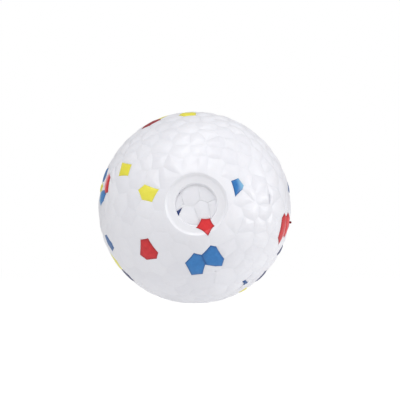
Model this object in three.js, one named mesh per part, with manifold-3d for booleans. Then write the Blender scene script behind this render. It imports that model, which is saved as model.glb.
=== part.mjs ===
// A dog toy ball, moulded from beads of expanded elastomer that steam welds into one bouncy mass.
// Millimetres, +Z up, with the ball's centre at the origin and the filling port facing the front, -Y.
// White beads make the mass. Each coloured bead, and each bead in the port, is a solid in its own pocket.

import * as THREE from "three";
import { ConvexGeometry } from "three/addons/geometries/ConvexGeometry.js";
import { ConvexHull } from "three/addons/math/ConvexHull.js";
import { mergeVertices } from "three/addons/utils/BufferGeometryUtils.js";
import Module from "manifold-3d";

// Driving dimensions
const BALL_DIAMETER = 65;
const BEAD_PITCH = 5.8; // mean spacing of the beads over the surface
const BEAD_DEPTH = 5.6; // reach of a bead into the ball
const GROOVE_DEPTH = 0.45; // of the valley where two beads meet
const SHOULDER_WIDTH = 1; // from a valley to the face of a bead
const WELD_GAP = 0.3; // between a separate bead and its neighbours
const REST_FACE_WIDTH = 10; // across the corners of the flat face that the ball stands on
const REST_FACE_CORNERS = 12;
const MOUTH_DIAMETER = 20; // of the filling port, at the ball's surface
const MOUTH_WALL_WIDTH = 0.8; // of the mouth's sloping wall, seen from the front
const LEDGE_DROP = 0.7; // from the mouth's edge down to the ledge
const PORT_DIAMETER = 13.8; // of the port inside the ledge
const PORT_WALL_WIDTH = 0.4; // of the port's sloping wall, seen from the front
const PORT_DROP = 0.9; // from the ledge down to the port beads
const PORT_BEAD_DEPTH = 4.6;
const PORT_BEAD_SHOULDER = 1.1; // height of the rounded edge of a port bead
const TURNED_SIDES = 48; // of the round walls of the port

// How a bead narrows towards its inner end, as shares of its outline
const WAIST_SHARE = 0.9;
const WAIST_PLACE_SHARE = 0.55; // of a bead's reach into the ball
const TIP_SHARE = 0.5;
const PORT_TIP_SHARE = 0.8;
const SHOULDER_SHARE = 0.45; // most of a small bead's reach that its shoulder takes
const NEAREST_BEADS = 0.62; // least spacing of two beads, in bead pitches
const FURTHEST_STRAY = 0.275; // of a bead from even spacing, in bead pitches
const RELAXING_ROUNDS = 2; // that even out the loose beads
const SCATTER_SEED = 7;

// Derived places, as distances from the ball's centre
const RADIUS = BALL_DIAMETER / 2;
const MOUTH_RADIUS = MOUTH_DIAMETER / 2;
const PORT_RADIUS = PORT_DIAMETER / 2;
const FLOOR_RADIUS = PORT_RADIUS - PORT_WALL_WIDTH;
const RIM = Math.sqrt(RADIUS ** 2 - MOUTH_RADIUS ** 2);
const LEDGE = RIM - LEDGE_DROP;
const PORT_FLOOR = LEDGE - PORT_DROP;
const PORT_BED = PORT_FLOOR - PORT_BEAD_DEPTH - WELD_GAP;
const CLEAR_OUTSIDE = RADIUS + GROOVE_DEPTH + SHOULDER_WIDTH; // where cutters end, beyond every bead

const WHITE = 0xf0f0f2;
const RED = 0xd2343a;
const BLUE = 0x3f7cc0;
const YELLOW = 0xe8e04a;

// Coloured beads. at: degrees from the front towards the right, and degrees above the middle.
// inPort: shares of the port floor's radius to the right of and above its centre, in place of at.
// outline: corners of the visible face, in bead pitches to the right of and above the bead's place.
// inside: the round wall of the port that holds a bead. wedged: a small bead where larger ones meet.
const COLOURED_BEADS = [
  {
    name: "red_bead_port_edge",
    colour: RED,
    inPort: [0.46, -0.94],
    outline: [[-0.25, 0.31], [0.25, 0.33], [0.5, -0.09], [0.12, -0.62], [-0.57, -0.22]],
    inside: MOUTH_RADIUS,
  },
  {
    name: "blue_bead_port_corner",
    colour: BLUE,
    inPort: [-0.86, -0.4],
    outline: [[-0.26, -0.21], [-0.09, 0.1], [0.21, 0.31], [0.05, -0.17]],
    inside: FLOOR_RADIUS,
    wedged: true,
  },
  {
    name: "blue_bead_low_pair_left",
    colour: BLUE,
    at: [0.5, -36.5],
    outline: [[-0.17, 0.76], [0.26, 0.64], [0.5, 0.02], [0.36, -0.72], [-0.29, -0.81], [-0.66, 0.07]],
  },
  {
    name: "blue_bead_low_pair_right",
    colour: BLUE,
    at: [12.5, -32],
    outline: [
      [-0.79, 0.1], [-0.31, 0.79], [0.03, 0.72], [0.6, -0.09], [0.55, -0.59], [0.14, -0.59], [-0.55, -0.47],
    ],
  },
  {
    name: "red_bead_left_low",
    colour: RED,
    at: [-32.5, -27.5],
    outline: [[-0.34, 0.72], [0.19, 0.79], [0.62, -0.12], [0.4, -0.5], [-0.29, -0.57], [-0.66, -0.26]],
  },
  {
    name: "yellow_bead_left_middle",
    colour: YELLOW,
    at: [-29.5, 6.5],
    outline: [[-0.21, 0.52], [0.74, 0.21], [0.34, -0.5], [-0.33, -0.36], [-0.62, 0.21]],
  },
  {
    name: "yellow_bead_left_high",
    colour: YELLOW,
    at: [-50.5, 21.5],
    outline: [[-0.55, 0.5], [0.45, 0.31], [0.45, -0.4], [-0.45, -0.38]],
  },
  {
    name: "blue_bead_right_high",
    colour: BLUE,
    at: [25, 11],
    outline: [[-0.37, 0.27], [0.11, 0.45], [0.42, 0.02], [0.3, -0.22], [-0.2, -0.65]],
  },
  {
    name: "blue_bead_right_low_small",
    colour: BLUE,
    at: [55.3, -51.2],
    outline: [[-0.25, 0.22], [0.33, -0.04], [0.15, -0.27], [-0.4, 0.07]],
    wedged: true,
  },
  {
    name: "red_bead_right_middle",
    colour: RED,
    at: [68, -13.5],
    outline: [[-0.1, 0.96], [0.28, 0.76], [0.53, -0.39], [0.12, -0.97], [-0.4, -0.53], [-0.45, 0.65]],
  },
  {
    name: "red_bead_right_rim",
    colour: RED,
    at: [77.5, -11.5],
    outline: [[-0.72, 0.5], [-0.3, 0.86], [0.32, 0.62], [0.47, -0.09], [-0.03, -0.72], [-0.45, -0.55]],
  },
  { name: "yellow_bead_top", colour: YELLOW, at: [-14, 75] },
  { name: "red_bead_top_left", colour: RED, at: [-70, 61] },
  { name: "yellow_bead_top_left", colour: YELLOW, at: [-84, 71] },
  {
    name: "blue_bead_left_rim_high",
    colour: BLUE,
    at: [-81.7, 21],
    outline: [[-0.45, 0.37], [0.2, 0.29], [0.5, -0.12], [0.38, -0.55], [-0.35, -0.6], [-0.75, -0.1]],
  },
  {
    name: "red_bead_left_rim",
    colour: RED,
    at: [-67, 13.5],
    outline: [[-0.3, 0.67], [0.1, 0.37], [0.24, -0.53], [-0.2, -0.58], [-0.56, -0.18], [-0.62, 0.33]],
  },
  {
    name: "blue_bead_left_rim_low",
    colour: BLUE,
    at: [-74, 5],
    outline: [[-0.5, 0.45], [0.47, 0.49], [0.68, 0.27], [0.33, -0.17], [-0.29, -0.44], [-0.7, -0.1]],
  },
  {
    name: "yellow_bead_left_rim",
    colour: YELLOW,
    at: [-84, 11.5],
    outline: [[-0.5, 0.3], [0.45, 0.33], [0.62, 0.08], [0.55, -0.2], [-0.4, -0.25]],
  },
  {
    name: "blue_bead_left_low",
    colour: BLUE,
    at: [-72, -23],
    outline: [[-0.46, 0.58], [0, 0.62], [0.47, 0.09], [0.48, -0.23], [-0.06, -0.44], [-0.46, 0.09]],
  },
  { name: "yellow_bead_left_low", colour: YELLOW, at: [-84.5, -34.5] },
  { name: "blue_bead_bottom_left", colour: BLUE, at: [-82, -46] },
  {
    name: "blue_bead_right_rim_low",
    colour: BLUE,
    at: [84, -26.4],
    outline: [[-0.5, 0.22], [0.1, 0.36], [0.5, 0.1], [0.45, -0.3], [-0.1, -0.4], [-0.5, -0.28]],
  },
  { name: "blue_bead_bottom_right", colour: BLUE, at: [85, -47.6] },
  {
    name: "yellow_bead_bottom_right",
    colour: YELLOW,
    at: [85.5, -59.5],
    outline: [[-0.45, 0.18], [0.1, 0.3], [0.5, 0.12], [0.45, -0.26], [-0.1, -0.34], [-0.45, -0.22]],
  },
  { name: "blue_bead_right_rim_high", colour: BLUE, at: [92.7, 13] },
  { name: "red_bead_back_right_high", colour: RED, at: [118, 36] },
  { name: "yellow_bead_back_right_low", colour: YELLOW, at: [107, -34] },
  { name: "blue_bead_back_right_top", colour: BLUE, at: [113, 63] },
  { name: "blue_bead_back_right_middle", colour: BLUE, at: [128, -9] },
  { name: "yellow_bead_back_right_middle", colour: YELLOW, at: [138, 14] },
  { name: "red_bead_back_right_low", colour: RED, at: [148, -22] },
  { name: "yellow_bead_back_bottom_right", colour: YELLOW, at: [141, -54] },
  { name: "yellow_bead_back_top", colour: YELLOW, at: [162, 68] },
  { name: "blue_bead_back_high", colour: BLUE, at: [166, 21] },
  { name: "red_bead_back_high", colour: RED, at: [176, 45] },
  { name: "blue_bead_back_low", colour: BLUE, at: [181, -38] },
  { name: "yellow_bead_back_middle", colour: YELLOW, at: [186, -8] },
  { name: "red_bead_back_middle", colour: RED, at: [206, 9] },
  { name: "red_bead_back_bottom", colour: RED, at: [196, -60] },
  { name: "blue_bead_back_left_high", colour: BLUE, at: [214, 41] },
  { name: "blue_bead_back_left_pair", colour: BLUE, at: [223, 36] },
  { name: "yellow_bead_back_left_low", colour: YELLOW, at: [222, -19] },
  { name: "red_bead_back_left_low", colour: RED, at: [230, -41] },
  { name: "blue_bead_back_left_middle", colour: BLUE, at: [240, 4] },
  { name: "yellow_bead_back_left_high", colour: YELLOW, at: [249, 33] },
  { name: "red_bead_back_left_top", colour: RED, at: [246, 62] },
  { name: "blue_bead_back_left_bottom", colour: BLUE, at: [253, -61] },
];

// White beads that lie loose on the port's floor. lift: height above the floor.
const PORT_BEADS = [
  { name: "port_bead_upper_left", inPort: [-0.33, 0.34], lift: 0.25 },
  { name: "port_bead_upper_right", inPort: [0.62, 0.5], lift: 0.2 },
  { name: "port_bead_right", inPort: [0.9, -0.2], lift: 0.35 },
  { name: "port_bead_centre", inPort: [0.36, -0.3], lift: 0.4 },
  { name: "port_bead_lower_left", inPort: [-0.33, -0.6], lift: 0.4 },
  { name: "port_bead_left", inPort: [-0.95, 0.2], lift: 0.2 },
];

// Bearings of the white beads round the port, which is where they show best.
const WHITE_BEADS = [
  [-26, 37], [-26.5, 27], [-14, 24.5], [-9.5, 33], [-10, 42.5], [-23.5, 46], [1, 42], [-7.5, 52.5],
  [-2.5, 24.5], [-38, 25.5], [-25, 16.5], [-18, 16.5], [-41.5, 34], [10, 46], [27.5, 49], [12, 55.5],
  [32, 59.5], [2.5, 33.5], [12.5, 32.5], [4.5, 24], [11.5, 23.5], [23.5, 30], [28.5, 38.5], [39, 35.5],
  [34.5, 27.5], [20.5, 22], [41, 23], [53.5, 24.5], [39.5, 12.5], [34.5, 5.5], [43.5, 5], [53.5, 5.5],
  [67.5, 12], [31.5, 16.5], [34, -4.5], [44.5, -4.5], [41.5, -12], [52, -10.5], [24, -9], [21, -14.5],
  [15, -18], [31.5, -11.5], [32.5, -20.5], [44, -20.5], [21.5, -25], [31.5, -32.5], [24, -36], [42, -29],
  [25.5, -2], [26.5, 2.5],
];

const wasm = await Module();
wasm.setup();

// Places on the ball

function direction([bearing, height]) {
  const turn = THREE.MathUtils.degToRad(bearing);
  const rise = THREE.MathUtils.degToRad(height);
  return new THREE.Vector3(
    Math.sin(turn) * Math.cos(rise),
    -Math.cos(turn) * Math.cos(rise),
    Math.sin(rise),
  );
}

const portDirection = ([across, above]) =>
  new THREE.Vector3(across * FLOOR_RADIUS, -PORT_FLOOR, above * FLOOR_RADIUS).normalize();

// The directions to the right and upwards for someone facing the ball at a seed.
function tangents(seed) {
  const right = new THREE.Vector3(0, 0, 1).cross(seed);
  if (right.lengthSq() < 1e-9) right.set(1, 0, 0);
  right.normalize();
  return { right, up: seed.clone().cross(right) };
}

// The direction of a point that lies right and up of a seed, in millimetres on the ball's surface.
function beside(seed, [across, above]) {
  const { right, up } = tangents(seed);
  const point = seed.clone().multiplyScalar(RADIUS);
  return point.addScaledVector(right, across).addScaledVector(up, above).normalize();
}

// Corners of a cell as seen from outside, in millimetres on the plane that touches the ball at its seed.
function flattened(seed, corners) {
  const { right, up } = tangents(seed);
  return corners.map((corner) => {
    const onPlane = corner.clone().multiplyScalar(RADIUS / corner.dot(seed));
    return new THREE.Vector2(onPlane.dot(right), onPlane.dot(up));
  });
}

// Where the beads lie

// Repeatable random numbers from 0 to 1.
function randomNumbers(seed) {
  let state = seed;
  return () => {
    state = (state * 1664525 + 1013904223) % 4294967296;
    return state / 4294967296;
  };
}

// Evenly spread directions, each strayed a little.
function scatteredDirections() {
  const beadArea = (BEAD_PITCH ** 2 * Math.sqrt(3)) / 2;
  const count = Math.round((4 * Math.PI * RADIUS ** 2) / beadArea);
  const goldenAngle = Math.PI * (3 - Math.sqrt(5));
  const random = randomNumbers(SCATTER_SEED);
  return Array.from({ length: count }, (_, index) => {
    const height = 1 - (2 * index + 1) / count;
    const ring = Math.sqrt(1 - height ** 2);
    const even = new THREE.Vector3(
      ring * Math.cos(goldenAngle * index),
      ring * Math.sin(goldenAngle * index),
      height,
    );
    const stray = () => (2 * random() - 1) * FURTHEST_STRAY * BEAD_PITCH;
    return beside(even, [stray(), stray()]);
  });
}

const distance = (a, b) => a.distanceTo(b) * RADIUS;
const isClear = (seed, others) =>
  others.every((other) => distance(seed, other) > NEAREST_BEADS * BEAD_PITCH);

// Whether a seed would take a corner from the outline of another bead.
const cutsInto = (seed, { seed: own, corners }) =>
  corners.some((corner) => distance(corner, seed) < distance(corner, own) - WELD_GAP / 10);

// A bead meets a neighbour in a straight edge when both lie as far from it. A wedged bead fills a corner
// that its neighbours share, so they stand a little further off.
function neighboursAcross({ seed, corners, wedged }) {
  return corners.map((corner, index) => {
    const edge = corner.clone().cross(corners[(index + 1) % corners.length]).normalize();
    const reach = 2 * Math.abs(seed.dot(edge));
    const away = wedged ? Math.max(reach, (NEAREST_BEADS * BEAD_PITCH) / RADIUS) : reach;
    return seed.clone().addScaledVector(edge, -Math.sign(seed.dot(edge)) * away).normalize();
  });
}

// Cells of the surface, one to a seed, as rings of corners that neighbouring cells share.
function surfaceCells(seeds) {
  const indexOf = new Map(seeds.map((seed, index) => [seed, index]));
  const rings = seeds.map(() => []);
  const corners = [];
  for (const face of new ConvexHull().setFromPoints(seeds).faces) {
    const points = [0, 1, 2].map((k) => face.getEdge(k).head().point);
    corners.push(face.normal.clone());
    for (const point of points) rings[indexOf.get(point)].push(corners.length - 1);
  }
  seeds.forEach((seed, index) => {
    const { right, up } = tangents(seed);
    const turnOf = (corner) => Math.atan2(corners[corner].dot(up), corners[corner].dot(right));
    rings[index].sort((a, b) => turnOf(a) - turnOf(b));
  });
  return { corners, rings };
}

// Moves each loose seed to the middle of its cell, if no outlined bead loses a corner to it there.
function relax(fixed, loose, outlined) {
  const { corners, rings } = surfaceCells([...fixed, ...loose]);
  return loose.map((seed, index) => {
    const middle = new THREE.Vector3();
    for (const corner of rings[fixed.length + index]) middle.add(corners[corner]);
    middle.normalize();
    return outlined.some((bead) => cutsInto(middle, bead)) ? seed : middle;
  });
}

const restSeed = new THREE.Vector3(0, 0, -1);
const restReach = REST_FACE_WIDTH / 2 + SHOULDER_WIDTH;
const restCorners = Array.from({ length: REST_FACE_CORNERS }, (_, index) => {
  const turn = (2 * Math.PI * index) / REST_FACE_CORNERS;
  return beside(restSeed, [restReach * Math.cos(turn), restReach * Math.sin(turn)]);
});

const separateBeads = [...COLOURED_BEADS, ...PORT_BEADS].map((bead) => ({
  ...bead,
  seed: bead.inPort ? portDirection(bead.inPort) : direction(bead.at),
}));
for (const bead of separateBeads) {
  bead.corners = bead.outline?.map((corner) => beside(bead.seed, corner.map((share) => share * BEAD_PITCH)));
}
const outlined = [...separateBeads.filter((bead) => bead.outline), { seed: restSeed, corners: restCorners }];
const kept = outlined.filter((bead) => !bead.wedged);
// Only the port's own beads lie on its floor.
const isOnPortFloor = ({ x, y, z }) => y < 0 && Math.hypot(x, z) * PORT_FLOOR < -y * FLOOR_RADIUS;
const mayLie = (seed, others) =>
  !isOnPortFloor(seed) && isClear(seed, others) && !kept.some((bead) => cutsInto(seed, bead));

const beadSeeds = separateBeads.filter((bead) => !bead.wedged).map((bead) => bead.seed);
const fixedSeeds = [...beadSeeds, restSeed];
for (const bead of outlined) {
  const others = beadSeeds.filter((seed) => seed !== bead.seed);
  fixedSeeds.push(...neighboursAcross(bead).filter((seed) => mayLie(seed, others)));
}
for (const seed of WHITE_BEADS.map(direction)) {
  if (mayLie(seed, fixedSeeds)) fixedSeeds.push(seed);
}
let looseSeeds = scatteredDirections().filter((seed) => mayLie(seed, fixedSeeds));
for (let round = 0; round < RELAXING_ROUNDS; round++) looseSeeds = relax(fixedSeeds, looseSeeds, kept);
const seeds = [...fixedSeeds, ...looseSeeds];
const { corners, rings } = surfaceCells(seeds);

// Solids

function solid(geometry) {
  const bare = geometry.clone().deleteAttribute("normal").deleteAttribute("uv");
  const merged = mergeVertices(bare);
  const vertProperties = new Float32Array(merged.attributes.position.array);
  const triVerts = new Uint32Array(merged.index.array);
  return new wasm.Manifold(new wasm.Mesh({ numProp: 3, vertProperties, triVerts }));
}

function shownMesh(name, made, color) {
  const { vertProperties, triVerts } = made.getMesh();
  const geometry = new THREE.BufferGeometry();
  geometry.setAttribute("position", new THREE.BufferAttribute(vertProperties, 3));
  geometry.setIndex(new THREE.BufferAttribute(triVerts, 1));
  const elastomer = new THREE.MeshStandardMaterial({ color, roughness: 0.45, metalness: 0 });
  const mesh = new THREE.Mesh(geometry, elastomer);
  mesh.name = name;
  return mesh;
}

// A turned solid about the port's axis, from [radius, distance from the ball's centre] steps, outside first.
function turned(steps) {
  const [first] = steps;
  const last = steps[steps.length - 1];
  const profile = [[0, first[1]], ...steps, [0, last[1]]].map(([r, out]) => new THREE.Vector2(r, -out));
  return solid(new THREE.LatheGeometry(profile, TURNED_SIDES));
}

// A rod along the port's axis, from outside the ball to an inner end.
const rod = (radius, innerEnd) => turned([[radius, CLEAR_OUTSIDE], [radius, innerEnd]]);

const portSteps = [
  [MOUTH_RADIUS, CLEAR_OUTSIDE],
  [MOUTH_RADIUS, RIM],
  [MOUTH_RADIUS - MOUTH_WALL_WIDTH, LEDGE],
  [PORT_RADIUS, LEDGE],
  [FLOOR_RADIUS, PORT_FLOOR],
];
const portToFloor = turned(portSteps);
const portToBed = turned([...portSteps, [FLOOR_RADIUS, PORT_BED]]);

// The share of a cell's reach that is left inside its shoulder.
function faceShare(outline) {
  const reach = outline.reduce((sum, corner) => sum + corner.length(), 0) / outline.length;
  return 1 - Math.min(SHOULDER_WIDTH / reach, SHOULDER_SHARE);
}

// The face of a bead inside its shoulder, with its corners on the ball's radius.
function faceRing(seed, outline) {
  return beadRing(seed, outline, RADIUS, faceShare(outline));
}

// Corners of an outline, all at one distance from the ball's centre.
function beadRing(seed, outline, out, share = 1) {
  return section(seed, outline, out, share).map((point) => point.setLength(out));
}

// A copy of an outline at a distance from the ball's centre, with walls that run towards the centre.
function section(seed, outline, out, share = 1) {
  const { right, up } = tangents(seed);
  return outline.map(({ x, y }) =>
    seed
      .clone()
      .multiplyScalar(out)
      .addScaledVector(right, (x * share * out) / RADIUS)
      .addScaledVector(up, (y * share * out) / RADIUS),
  );
}

// The outline with each edge moved outwards.
function grown(outline, by) {
  return outline.map((corner, index) => {
    const before = outline[(index + outline.length - 1) % outline.length];
    const after = outline[(index + 1) % outline.length];
    const into = corner.clone().sub(before).normalize();
    const from = after.clone().sub(corner).normalize();
    const half = Math.sqrt((1 + into.dot(from)) / 2);
    const outwards = new THREE.Vector2(into.y + from.y, -into.x - from.x).normalize();
    return corner.clone().addScaledVector(outwards, by / Math.max(half, 0.5));
  });
}

const asHull = (...levels) => solid(new ConvexGeometry(levels.flat()));

// The white surface: a face and a shoulder for each cell, down to the valleys that cells share.
function beadedBall() {
  const points = corners.map((corner) => corner.clone().multiplyScalar(RADIUS - GROOVE_DEPTH));
  const triangles = [];
  seeds.forEach((seed, cell) => {
    const ring = rings[cell];
    const first = points.length;
    points.push(...faceRing(seed, flattened(seed, ring.map((corner) => corners[corner]))));
    ring.forEach((corner, k) => {
      const next = (k + 1) % ring.length;
      triangles.push(corner, ring[next], first + next, corner, first + next, first + k);
      if (k > 1) triangles.push(first, first + k - 1, first + k);
    });
  });
  const geometry = new THREE.BufferGeometry().setFromPoints(points);
  return solid(geometry.setIndex(triangles));
}

// A bead that reaches the ball's surface, and the pocket that it sits in.
function surfaceBead({ seed, cell, inside }) {
  const depth = inside ? RADIUS - PORT_FLOOR + BEAD_DEPTH / 2 : BEAD_DEPTH;
  const body = grown(cell, -WELD_GAP / 2);
  const hole = grown(cell, WELD_GAP / 2);
  const waist = RADIUS - depth * WAIST_PLACE_SHARE;
  const made = asHull(
    faceRing(seed, body),
    beadRing(seed, body, RADIUS - GROOVE_DEPTH),
    section(seed, body, waist, WAIST_SHARE),
    section(seed, body, RADIUS - depth, TIP_SHARE),
  );
  const pocket = asHull(
    section(seed, hole, CLEAR_OUTSIDE),
    section(seed, hole, waist, WAIST_SHARE),
    section(seed, hole, RADIUS - depth - WELD_GAP, TIP_SHARE),
  );
  if (!inside) return { made, pocket };
  return {
    made: made.intersect(rod(inside - WELD_GAP, 0)).subtract(portToFloor),
    pocket: pocket.intersect(rod(inside, 0)),
  };
}

// A bead on the port's floor, domed and clear of the port's walls.
function portBead(bead) {
  const body = grown(bead.cell, -WELD_GAP / 2);
  const top = (PORT_FLOOR + bead.lift) / -bead.seed.y;
  const share = faceShare(body);
  const column = asHull(
    section(bead.seed, body, top, share),
    section(bead.seed, body, top - PORT_BEAD_SHOULDER),
    section(bead.seed, body, top - PORT_BEAD_DEPTH, PORT_TIP_SHARE),
  );
  return column.intersect(rod(FLOOR_RADIUS - WELD_GAP, PORT_BED + WELD_GAP));
}

// Assembly

for (const bead of separateBeads) {
  const ring = bead.corners ?? rings[seeds.indexOf(bead.seed)].map((corner) => corners[corner]);
  bead.cell = flattened(bead.seed, ring);
  if (THREE.ShapeUtils.isClockWise(bead.cell)) bead.cell.reverse();
}
const coloured = separateBeads.filter((bead) => bead.colour);
const portBeads = separateBeads.filter((bead) => !bead.colour);

const made = new Map(coloured.map((bead) => [bead, surfaceBead(bead)]));
// A wedged bead keeps its shape among outlined beads, and those keep theirs among the rest. Of two outlined
// beads, the first in the list keeps its shape.
const rank = (bead) => Number(Boolean(bead.outline)) + Number(Boolean(bead.wedged));
const yieldsTo = (bead, other) => {
  if (rank(bead) === 1 && rank(other) === 1) return coloured.indexOf(other) < coloured.indexOf(bead);
  return rank(other) > rank(bead);
};
const trimmed = (bead, piece) =>
  coloured
    .filter((other) => yieldsTo(bead, other))
    .reduce((rest, other) => rest.subtract(made.get(other).pocket), piece);

const ball = new THREE.Group();
let mass = beadedBall().subtract(portToBed);
for (const bead of coloured) {
  mass = mass.subtract(made.get(bead).pocket);
  ball.add(shownMesh(bead.name, trimmed(bead, made.get(bead).made), bead.colour));
}
for (const bead of portBeads) ball.add(shownMesh(bead.name, trimmed(bead, portBead(bead)), WHITE));
ball.add(shownMesh("white_bead_mass", mass, WHITE));

export default ball;
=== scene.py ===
"""Dog toy ball of welded elastomer beads, in the view and light of its photograph.

The ball's centre is the origin, +Z is up and the filling port faces -Y, as in the CAD. Sizes are in
millimetres until a mesh is made, unless a field says otherwise, and the meshes are in metres. The beads lie
where the CAD has them: seeds over the ball, a cell of the surface round each, and the traced outlines of the
coloured beads cut into the cells. A node tree then raises each cell into a bead.
"""

from __future__ import annotations

import logging
import math
import random
from collections.abc import Iterator
from contextlib import contextmanager
from dataclasses import dataclass, field, replace
from enum import Enum

import bmesh
import bpy
import numpy as np
from mathutils import Matrix, Vector

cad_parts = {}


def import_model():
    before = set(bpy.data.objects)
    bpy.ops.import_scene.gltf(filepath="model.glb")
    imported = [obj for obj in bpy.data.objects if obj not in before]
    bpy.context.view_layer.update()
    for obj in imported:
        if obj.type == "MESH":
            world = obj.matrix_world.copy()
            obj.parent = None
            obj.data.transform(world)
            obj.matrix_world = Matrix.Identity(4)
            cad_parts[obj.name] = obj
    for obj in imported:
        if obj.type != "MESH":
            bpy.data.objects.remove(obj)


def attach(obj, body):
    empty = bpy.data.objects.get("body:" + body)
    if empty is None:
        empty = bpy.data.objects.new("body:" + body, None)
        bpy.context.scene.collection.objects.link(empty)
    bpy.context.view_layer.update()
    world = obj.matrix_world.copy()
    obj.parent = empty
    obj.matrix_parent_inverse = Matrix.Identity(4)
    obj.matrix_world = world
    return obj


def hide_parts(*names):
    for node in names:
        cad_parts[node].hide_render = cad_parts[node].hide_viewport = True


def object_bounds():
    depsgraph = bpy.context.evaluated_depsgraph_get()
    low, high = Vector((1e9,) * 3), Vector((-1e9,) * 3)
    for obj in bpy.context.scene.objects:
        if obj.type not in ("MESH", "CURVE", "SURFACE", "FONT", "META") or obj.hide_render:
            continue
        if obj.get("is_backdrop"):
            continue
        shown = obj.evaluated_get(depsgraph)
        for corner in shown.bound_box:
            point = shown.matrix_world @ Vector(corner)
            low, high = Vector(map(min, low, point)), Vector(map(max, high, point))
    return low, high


LOG = logging.getLogger("dog_toy_ball")
MM = 0.001
QUAD = 4  # sides of a face that a ring or a wall has
NO_LENGTH = 1e-9
BODY = "root"

Pair = tuple[float, float]
Triple = tuple[float, float, float]
Screen = tuple[int, int, int]
Array = np.ndarray
Editor = bmesh.types.BMesh
Layer = bmesh.types.BMLayerItem
Material = bpy.types.Material
Mesh = bpy.types.Mesh
Piece = bpy.types.Object
Socket = bpy.types.NodeSocket


class Colour(Enum):
    """Colours of the foam, by the record's material slot."""

    WHITE = "white_foam"
    RED = "red_foam"
    BLUE = "blue_foam"
    YELLOW = "yellow_foam"


@dataclass(frozen=True)
class BallSizes:
    """Sizes of the ball, the same as the CAD's, in millimetres."""

    diameter: float = 65.0
    bead_pitch: float = 5.8
    bead_depth: float = 5.6
    rest_face_width: float = 10.0
    rest_shoulder: float = 1.0
    rest_corners: int = 12
    weld_gap: float = 0.3
    mouth_diameter: float = 20.0
    mouth_wall_width: float = 0.8
    ledge_drop: float = 0.7
    port_diameter: float = 13.8
    port_wall_width: float = 0.4
    port_drop: float = 0.9
    nearest_beads: float = 0.62
    furthest_stray: float = 0.275
    relaxing_rounds: int = 2
    scatter_seed: int = 7

    @property
    def radius(self) -> float:
        """Radius of the ball."""
        return self.diameter / 2

    @property
    def mouth_radius(self) -> float:
        """Radius of the port's mouth."""
        return self.mouth_diameter / 2

    @property
    def port_radius(self) -> float:
        """Radius of the port inside the ledge."""
        return self.port_diameter / 2

    @property
    def floor_radius(self) -> float:
        """Radius of the port at its floor."""
        return self.port_radius - self.port_wall_width

    @property
    def rim(self) -> float:
        """Distance of the mouth's edge from the ball's centre, along the port's axis."""
        return math.sqrt(self.radius**2 - self.mouth_radius**2)

    @property
    def ledge(self) -> float:
        """Distance of the ledge from the ball's centre."""
        return self.rim - self.ledge_drop

    @property
    def port_floor(self) -> float:
        """Distance of the port's floor from the ball's centre."""
        return self.ledge - self.port_drop

    @property
    def floor_slope(self) -> float:
        """Radius of the port's floor over its distance from the ball's centre."""
        return self.floor_radius / self.port_floor


@dataclass(frozen=True)
class Bead:
    """A bead that is a piece of its own.

    Attributes:
        name: Its CAD node.
        colour: Its foam.
        at: Degrees from the front towards the right, and degrees above the middle.
        in_port: Shares of the port floor's radius right of and above its centre, in place of at.
        outline: Corners of its visible face, in bead pitches right of and above its place.
        lift: Height above the port's floor, for a bead that lies in the port.
        wedged: Whether it is a small bead where larger ones meet.
        shade_and_deep_tone: How far its colour goes towards the foam's valley colour: painted shade on beads
            at the ball's edge and in the port's corner, and partly a darker tone of its foam.
        painted_highlight_base: How far its middle is towards the foam's painted highlight colour.
        nib: Where a drop of its foam stands on the ball, in degrees like its place.
        bow: How far its neighbours bulge into it, as a share of a border's length, where that is unusual.
        fold: Slopes to the right and upwards at which its face falls away beyond its middle.
        gloss: How much more painted highlight it has a millimetre to the right of its middle, and a
            millimetre above.
    """

    name: str
    colour: Colour
    at: Pair | None = None
    in_port: Pair | None = None
    outline: tuple[Pair, ...] = ()
    lift: float = 0.0
    wedged: bool = False
    shade_and_deep_tone: float = 0.0
    painted_highlight_base: float = 0.0
    nib: Pair | None = None
    bow: float = 0.0
    fold: Pair = (0.0, 0.0)
    gloss: Pair = (0.0, 0.0)

    def seed(self, sizes: BallSizes) -> Array:
        """Direction of the bead's place.

        Args:
            sizes: The ball.

        Returns:
            A unit vector from the ball's centre.
        """
        if self.at:
            return direction(*self.at)
        across, above = (share * sizes.floor_radius for share in self.in_port)
        return unit(np.array([across, -sizes.port_floor, above]))


RED, BLUE, YELLOW, WHITE = Colour.RED, Colour.BLUE, Colour.YELLOW, Colour.WHITE

# Painted light on some beads: a darkening share paints shade on slivers at the ball's edge and in the port's
# corner, and a highlight share paints a highlight on a side that shines.
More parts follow.
